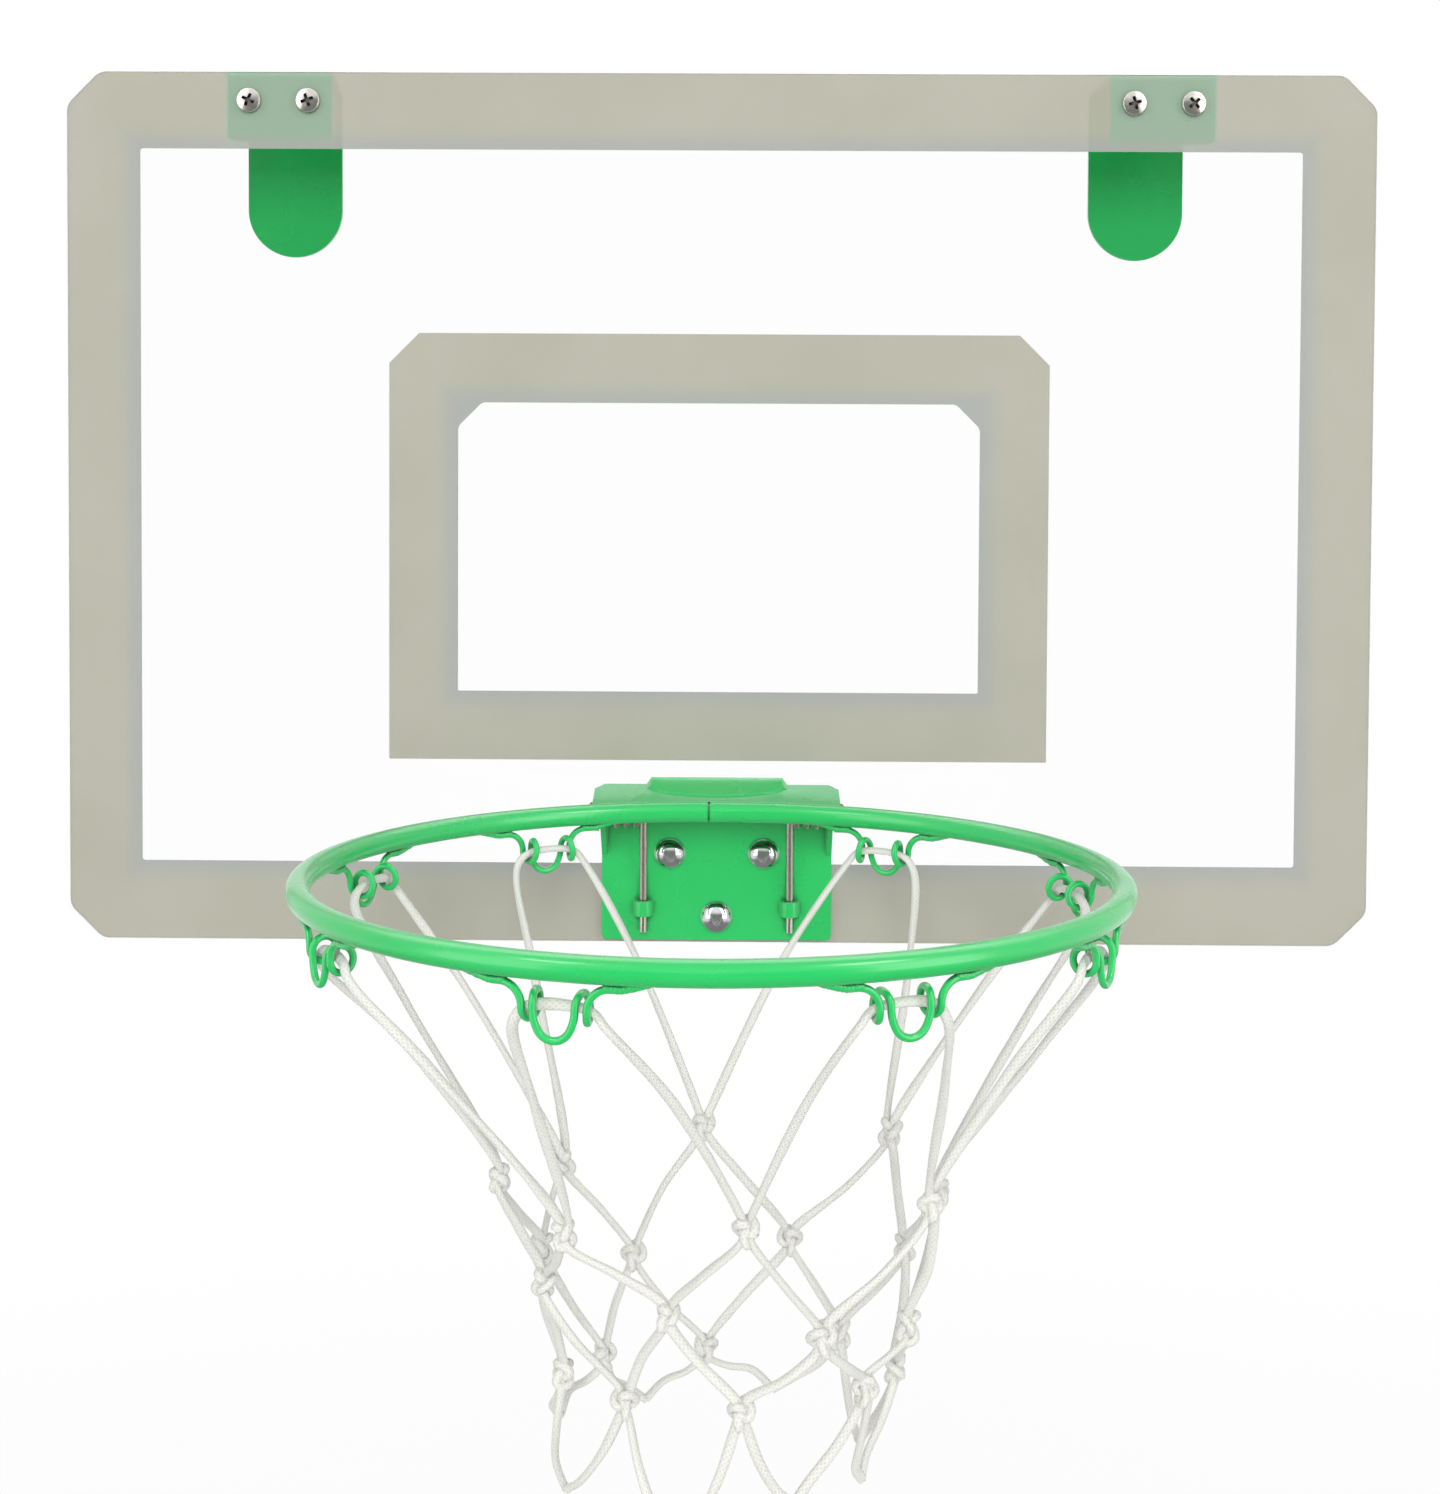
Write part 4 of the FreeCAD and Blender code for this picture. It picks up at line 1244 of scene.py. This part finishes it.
@dataclass
class Net:
    """Limp cord net: eight cords through the clips' eyes, tied in three rows of knots."""

    dresser: Dresser
    rim: Rim
    cord: float = 2.8 * MM
    cord_swell: float = 1.04
    cord_sample: float = 0.8 * MM
    eye_along: float = 8.5 * MM
    eye_inside: float = 3.5 * MM
    eye_drop: float = 11.0 * MM
    shoulder: float = 4.0 * MM
    knot_height: float = 6.4 * MM
    knot_half: float = 1.2 * MM
    knot_layer: float = 0.7
    port_layer: float = 0.4
    slack_at: float = 0.48
    top_bulge: Span = (0.02, 0.06)
    top_rise: float = 0.075
    bulge: Span = (-0.03, 0.07)
    sway: Span = (-0.06, 0.06)
    sag: Span = (0.0, 0.05)
    tie_cord: float = 2.7 * MM
    tie_sample: float = 0.5 * MM
    tie_wide: float = 3.0 * MM
    tie_tall: float = 4.2 * MM
    tie_deep: float = 1.9 * MM
    tie_lean: Span = (-0.5, 0.5)
    tie_size: Span = (0.8, 1.12)
    tie_points: int = 42
    tie_overlap: int = 5
    tuck_points: int = 6
    tuck: float = 0.22
    low_drop: float = 168.0
    low_wave: float = 4.0
    low_beat: float = 2.1
    low_radius: float = 47.0
    loop_share: float = 0.16
    loop_rise: float = 5.0
    seed: int = 11
    rows: list[list[Knot]] = field(default_factory=lambda: [
        knot_row((36, 86, 68), (92.5, 92, 64.5), (138, 97, 62), (183.5, 87, 61),
                 (233.5, 86, 64.5), (279, 80, 66), (323.5, 80, 75), (355, 89, 66)),
        knot_row((15, 113, 60), (62, 122, 52), (118.5, 127, 51), (158, 116, 54.5),
                 (210, 109, 53), (258.5, 108, 53), (301, 114, 60), (334, 120, 62)),
        knot_row((39.5, 146, 51), (92, 156, 45), (139, 152, 43), (184.5, 144, 42.5),
                 (240, 137, 45), (280.5, 135, 51), (320, 134, 56.5), (357, 142, 54)),
    ])
    centre: np.ndarray = field(init=False)
    chance: random.Random = field(init=False)

    def __post_init__(self) -> None:
        """Take the ring's centre and start the random draws."""
        self.centre = np.array(self.rim.centre)
        self.chance = random.Random(self.seed)

    def build(self) -> None:
        """Make the cords and knots."""
        lines = [smooth_line(self.cord_line(index), self.cord_sample)
                 for index in range(len(self.rim.clip_angles))]
        cords = SweptLine(
            self.cord / 2 * self.cord_swell, sides=14, flatten=0.74, step=1.0 * MM,
            uneven=0.22, twist=9.0).build("net_cords", lines, CORD)
        self.dresser.stand_in(cords, Body.RIM, Slot.CORD, "net")
        ties = [smooth_line(self.tie_line(knot), self.tie_sample)
                for row in self.rows for knot in row]
        knots = SweptLine(
            self.tie_cord / 2, sides=12, flatten=0.86, step=0.6 * MM,
            uneven=0.25, twist=3.0).build("net_knots", ties, CORD)
        self.dresser.stand_in(knots, Body.RIM, Slot.CORD)

    def knot(self, row: int, number: int) -> Knot:
        """Return a knot of a row by its number, counted on round the net."""
        return self.rows[row][number % len(self.rows[row])]

    def cord_line(self, index: int) -> list[np.ndarray]:
        """Points of the cord through one clip: from an end loop up to the eyes, and down again.

        Args:
            index: number of the clip.

        Returns:
            The points in order.
        """
        falls = []
        for way in (-1, 1):
            if way > 0:
                path, low = (index, index + 1, index + 1), index + 1
            else:
                path, low = (index - 1, index - 1, index - 2), index - 3
            points = self.eye_points(index, way)
            for row, number in enumerate(path):
                ports = self.ports(self.knot(row, number), way)
                points.append(self.slack(points[-1], ports[0], row))
                points.extend(ports)
            points.extend(self.low_points(low, way))
            falls.append(points)
        return list(reversed(falls[0])) + falls[1]

    def eye_points(self, index: int, way: int) -> list[np.ndarray]:
        """Points where a cord runs through an eye and turns down beside it.

        Args:
            index: number of the clip.
            way: which of its two eyes, -1 or 1.

        Returns:
            The points in order.
        """
        middle = math.radians(self.rim.clip_angles[index])
        reach = self.rim.radius - self.eye_inside
        points = []
        for aside in (0.0, self.shoulder):
            turn = middle + way * (self.eye_along + aside) / self.rim.radius
            points.append(self.centre + np.array([
                reach * math.cos(turn), reach * math.sin(turn), -self.eye_drop - aside]))
        return points

    def ports(self, knot: Knot, way: int) -> list[np.ndarray]:
        """Points where a cord enters, crosses and leaves a knot.

        Args:
            knot: the knot.
            way: which way the cord leans through it, -1 or 1.

        Returns:
            The points in order.
        """
        outward, along = knot.frame()
        place = knot.place(self.centre)
        up = np.array([0, 0, self.knot_height / 2])
        aside = along * (way * self.knot_half)
        layer = outward * (way * self.knot_half * self.knot_layer)
        return [place + up - aside + layer * self.port_layer, place + layer,
                place - up + aside + layer * self.port_layer]

    def slack(self, start: np.ndarray, end: np.ndarray, row: int) -> np.ndarray:
        """Point in the middle of a run, off its chord by the cord's own bend and slack.

        Args:
            start: where the run starts.
            end: where it ends.
            row: number of the row of knots that it runs to.

        Returns:
            The point.
        """
        middle = start * (1 - self.slack_at) + end * self.slack_at
        outward = middle - self.centre
        outward[2] = 0
        outward /= np.linalg.norm(outward)
        run = np.linalg.norm(end - start)
        draw = self.chance.uniform
        if row == 0:
            return middle + outward * run * draw(*self.top_bulge) + [0, 0, run * self.top_rise]
        sideways = np.cross(outward, [0, 0, 1])
        return (middle + outward * run * draw(*self.bulge) + sideways * run * draw(*self.sway)
                - [0, 0, run * draw(*self.sag)])

    def low_points(self, number: int, way: int) -> list[np.ndarray]:
        """Points of half an end loop, down to its lowest place.

        Args:
            number: number of the knot that the loop starts from.
            way: which half of the loop, -1 or 1.

        Returns:
            The points in order.
        """
        first, second = self.knot(-1, number), self.knot(-1, number + 1)
        gap = (second.angle - first.angle) % 360
        middle = first.angle + gap / 2
        aside = way * gap * self.loop_share
        knot = first if way > 0 else second
        beat = self.low_beat * (number % len(self.rows[-1]))
        drop = self.low_drop + self.low_wave * math.sin(beat)
        points = knot_row(
            (knot.angle + aside, (knot.drop + drop) / 2, (knot.radius + self.low_radius) / 2),
            (middle - aside, drop - self.loop_rise, self.low_radius),
            (middle, drop, self.low_radius))
        return [point.place(self.centre) for point in points]

    def tie_line(self, knot: Knot) -> list[np.ndarray]:
        """Points of one tight overhand tie, each turned and pulled a little differently.

        Args:
            knot: the knot that it ties.

        Returns:
            The points in order.
        """
        outward, along = knot.frame()
        place = knot.place(self.centre)
        lean = self.chance.uniform(*self.tie_lean)
        hand = self.chance.choice((-1, 1))
        size = self.chance.uniform(*self.tie_size)
        begin = self.chance.uniform(0, math.tau)
        count = self.tie_points + self.tie_overlap
        points = []
        for step in range(count):
            turn = begin + math.tau * step / self.tie_points
            tucked = min(max((step + 1 + self.tuck_points - count) / self.tuck_points, 0), 1)
            pull = size * (1 - self.tuck * tucked)
            x = (math.sin(turn) + 2 * math.sin(2 * turn)) / 3 * self.tie_wide * pull * hand
            z = (math.cos(turn) - 2 * math.cos(2 * turn)) / 3 * self.tie_tall * pull
            y = -math.sin(3 * turn) * self.tie_deep
            aside = x * math.cos(lean) - z * math.sin(lean)
            up = x * math.sin(lean) + z * math.cos(lean)
            points.append(place + along * aside + outward * y + [0, 0, up])
        return points


@dataclass(frozen=True)
class SoftBox:
    """Soft light, by its name, place, target, size in metres and power in watts."""

    name: str
    place: Point
    target: Point
    size: Span
    power: float
    mirrored: bool = True

    def hang(self) -> None:
        """Hang the light and aim it, hidden from the camera and from clear sheet."""
        data = bpy.data.lights.new(self.name, "AREA")
        data.shape = "RECTANGLE"
        data.size, data.size_y = self.size
        data.energy = self.power
        made = bpy.data.objects.new(self.name, data)
        made.location = self.place
        way = Vector(self.target) - Vector(self.place)
        made.rotation_euler = way.to_track_quat("-Z", "Y").to_euler()
        made.visible_camera = False
        made.visible_transmission = False
        made.visible_glossy = self.mirrored
        bpy.context.scene.collection.objects.link(made)


@dataclass
class Studio:
    """Camera, soft boxes, white surroundings and a pale floor."""

    camera_place: Point = (8.0 * MM, -784.0 * MM, -129.3 * MM)
    camera_turn: Point = (88.129, -0.291, 0.555)
    lens: float = 53.52
    sensor: float = 36.0
    shift: Span = (0.0, -0.15)
    floor_z: float = -1.4
    floor_sides: int = 96
    fill: float = 0.32
    behind: Span = (-0.3, 0.2)
    beside: tuple[float, ...] = (0.45, 0.75, 0.0, 0.8)
    above: tuple[float, ...] = (0.15, 0.55, 0.2, 0.9)
    overhead: Span = (0.5, 0.8)
    overhead_back: tuple[float, ...] = (0.0, 0.4, 0.0, 2.0)
    boxes: tuple[SoftBox, ...] = (
        SoftBox("left_box", (-1.2, -0.95, 0.0), (0.0, -0.05, -0.2), (0.8, 1.2), 4.4),
        SoftBox("right_box", (1.2, -0.95, 0.0), (0.0, -0.05, -0.2), (0.8, 1.2), 6.0),
        SoftBox("upper_left_box", (-0.8, -0.8, 0.85), (0.0, -0.1, -0.2), (0.4, 0.36), 2.2),
        SoftBox("upper_right_box", (0.8, -0.8, 0.85), (0.0, -0.1, -0.2), (0.4, 0.36), 2.8),
        SoftBox("front_box", (-0.1, -3.0, 0.85), (0.0, 0.0, -0.2), (1.0, 1.5), 68.0, False),
        SoftBox("low_box", (0.1, -2.4, -0.95), (0.0, 0.0, -0.25), (1.2, 0.5), 9.0, False),
        SoftBox("back_left_box", (-1.5, 1.7, 0.4), (0.0, 0.0, -0.2), (1.1, 1.1), 24.0, False),
        SoftBox("back_right_box", (1.5, 1.7, 0.4), (0.0, 0.0, -0.2), (1.1, 1.1), 24.0, False),
    )

    def build(self) -> None:
        """Set up the studio."""
        bpy.context.scene.view_settings.view_transform = "Standard"
        self.camera()
        for box in self.boxes:
            box.hang()
        self.surroundings()
        self.floor()

    def camera(self) -> None:
        """Place the camera where the photograph was taken from."""
        data = bpy.data.cameras.new("camera")
        data.lens = self.lens
        data.sensor_width = self.sensor
        data.shift_x, data.shift_y = self.shift
        made = bpy.data.objects.new("camera", data)
        made.location = self.camera_place
        made.rotation_euler = [math.radians(turn) for turn in self.camera_turn]
        bpy.context.scene.collection.objects.link(made)
        bpy.context.scene.camera = made

    def surroundings(self) -> None:
        """White to the camera and through clear sheet, shaped in mirrors, a soft fill elsewhere."""
        world = bpy.data.worlds.new("studio")
        bpy.context.scene.world = world
        graph = empty_graph(world)
        rays = graph.rays()
        bounced = graph.math("ADD", rays["Diffuse Depth"], rays["Glossy Depth"])
        through = graph.times(rays["Is Transmission Ray"], graph.none(bounced))
        seen = graph.most(rays["Is Camera Ray"], through)
        glossy = graph.minus(1.0, graph.none(rays["Glossy Depth"]))
        mirror = graph.times(glossy, graph.none(rays["Diffuse Depth"]))
        way = graph.parts(graph.node("ShaderNodeTexCoord").outputs["Generated"])
        wall = graph.most(graph.ramp(way["Y"], *self.behind),
                          graph.ramp(graph.math("ABSOLUTE", way["X"]), *self.beside),
                          graph.ramp(way["Z"], *self.above))
        overhead = graph.times(graph.ramp(way["Z"], *self.overhead),
                               graph.ramp(way["Y"], *self.overhead_back))
        mirrored = graph.times(mirror, graph.math("ADD", wall, overhead))
        rest = graph.times(graph.minus(1.0, mirror), self.fill)
        strength = graph.most(seen, graph.math("ADD", mirrored, rest))
        light = graph.result("ShaderNodeBackground", {
            "Color": (1.0, 1.0, 1.0, 1.0), "Strength": strength})
        graph.node("ShaderNodeOutputWorld", {"Surface": light})

    def floor(self) -> None:
        """Lay a pale floor well below the goal."""
        disc = bmesh.new()
        bmesh.ops.create_circle(
            disc, cap_ends=True, segments=self.floor_sides, radius=FLOOR.radius)
        for corner in disc.verts:
            corner.co.z = self.floor_z
        mesh = bpy.data.meshes.new("floor")
        disc.to_mesh(mesh)
        disc.free()
        mesh.materials.append(FLOOR.material())
        made = mesh_object("floor", mesh)


def main() -> None:
    """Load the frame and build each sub-assembly in order."""
    logging.basicConfig(level=logging.INFO, format="%(name)s: %(message)s")
    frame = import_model()
    dresser = Dresser(frame["nodes"])
    Studio().build()
    BoardAssembly(dresser).build()
    Bracket(dresser).build()
    rim = Rim(dresser)
    rim.build()
    Net(dresser, rim).build()


if __name__ == "__main__":
    main()
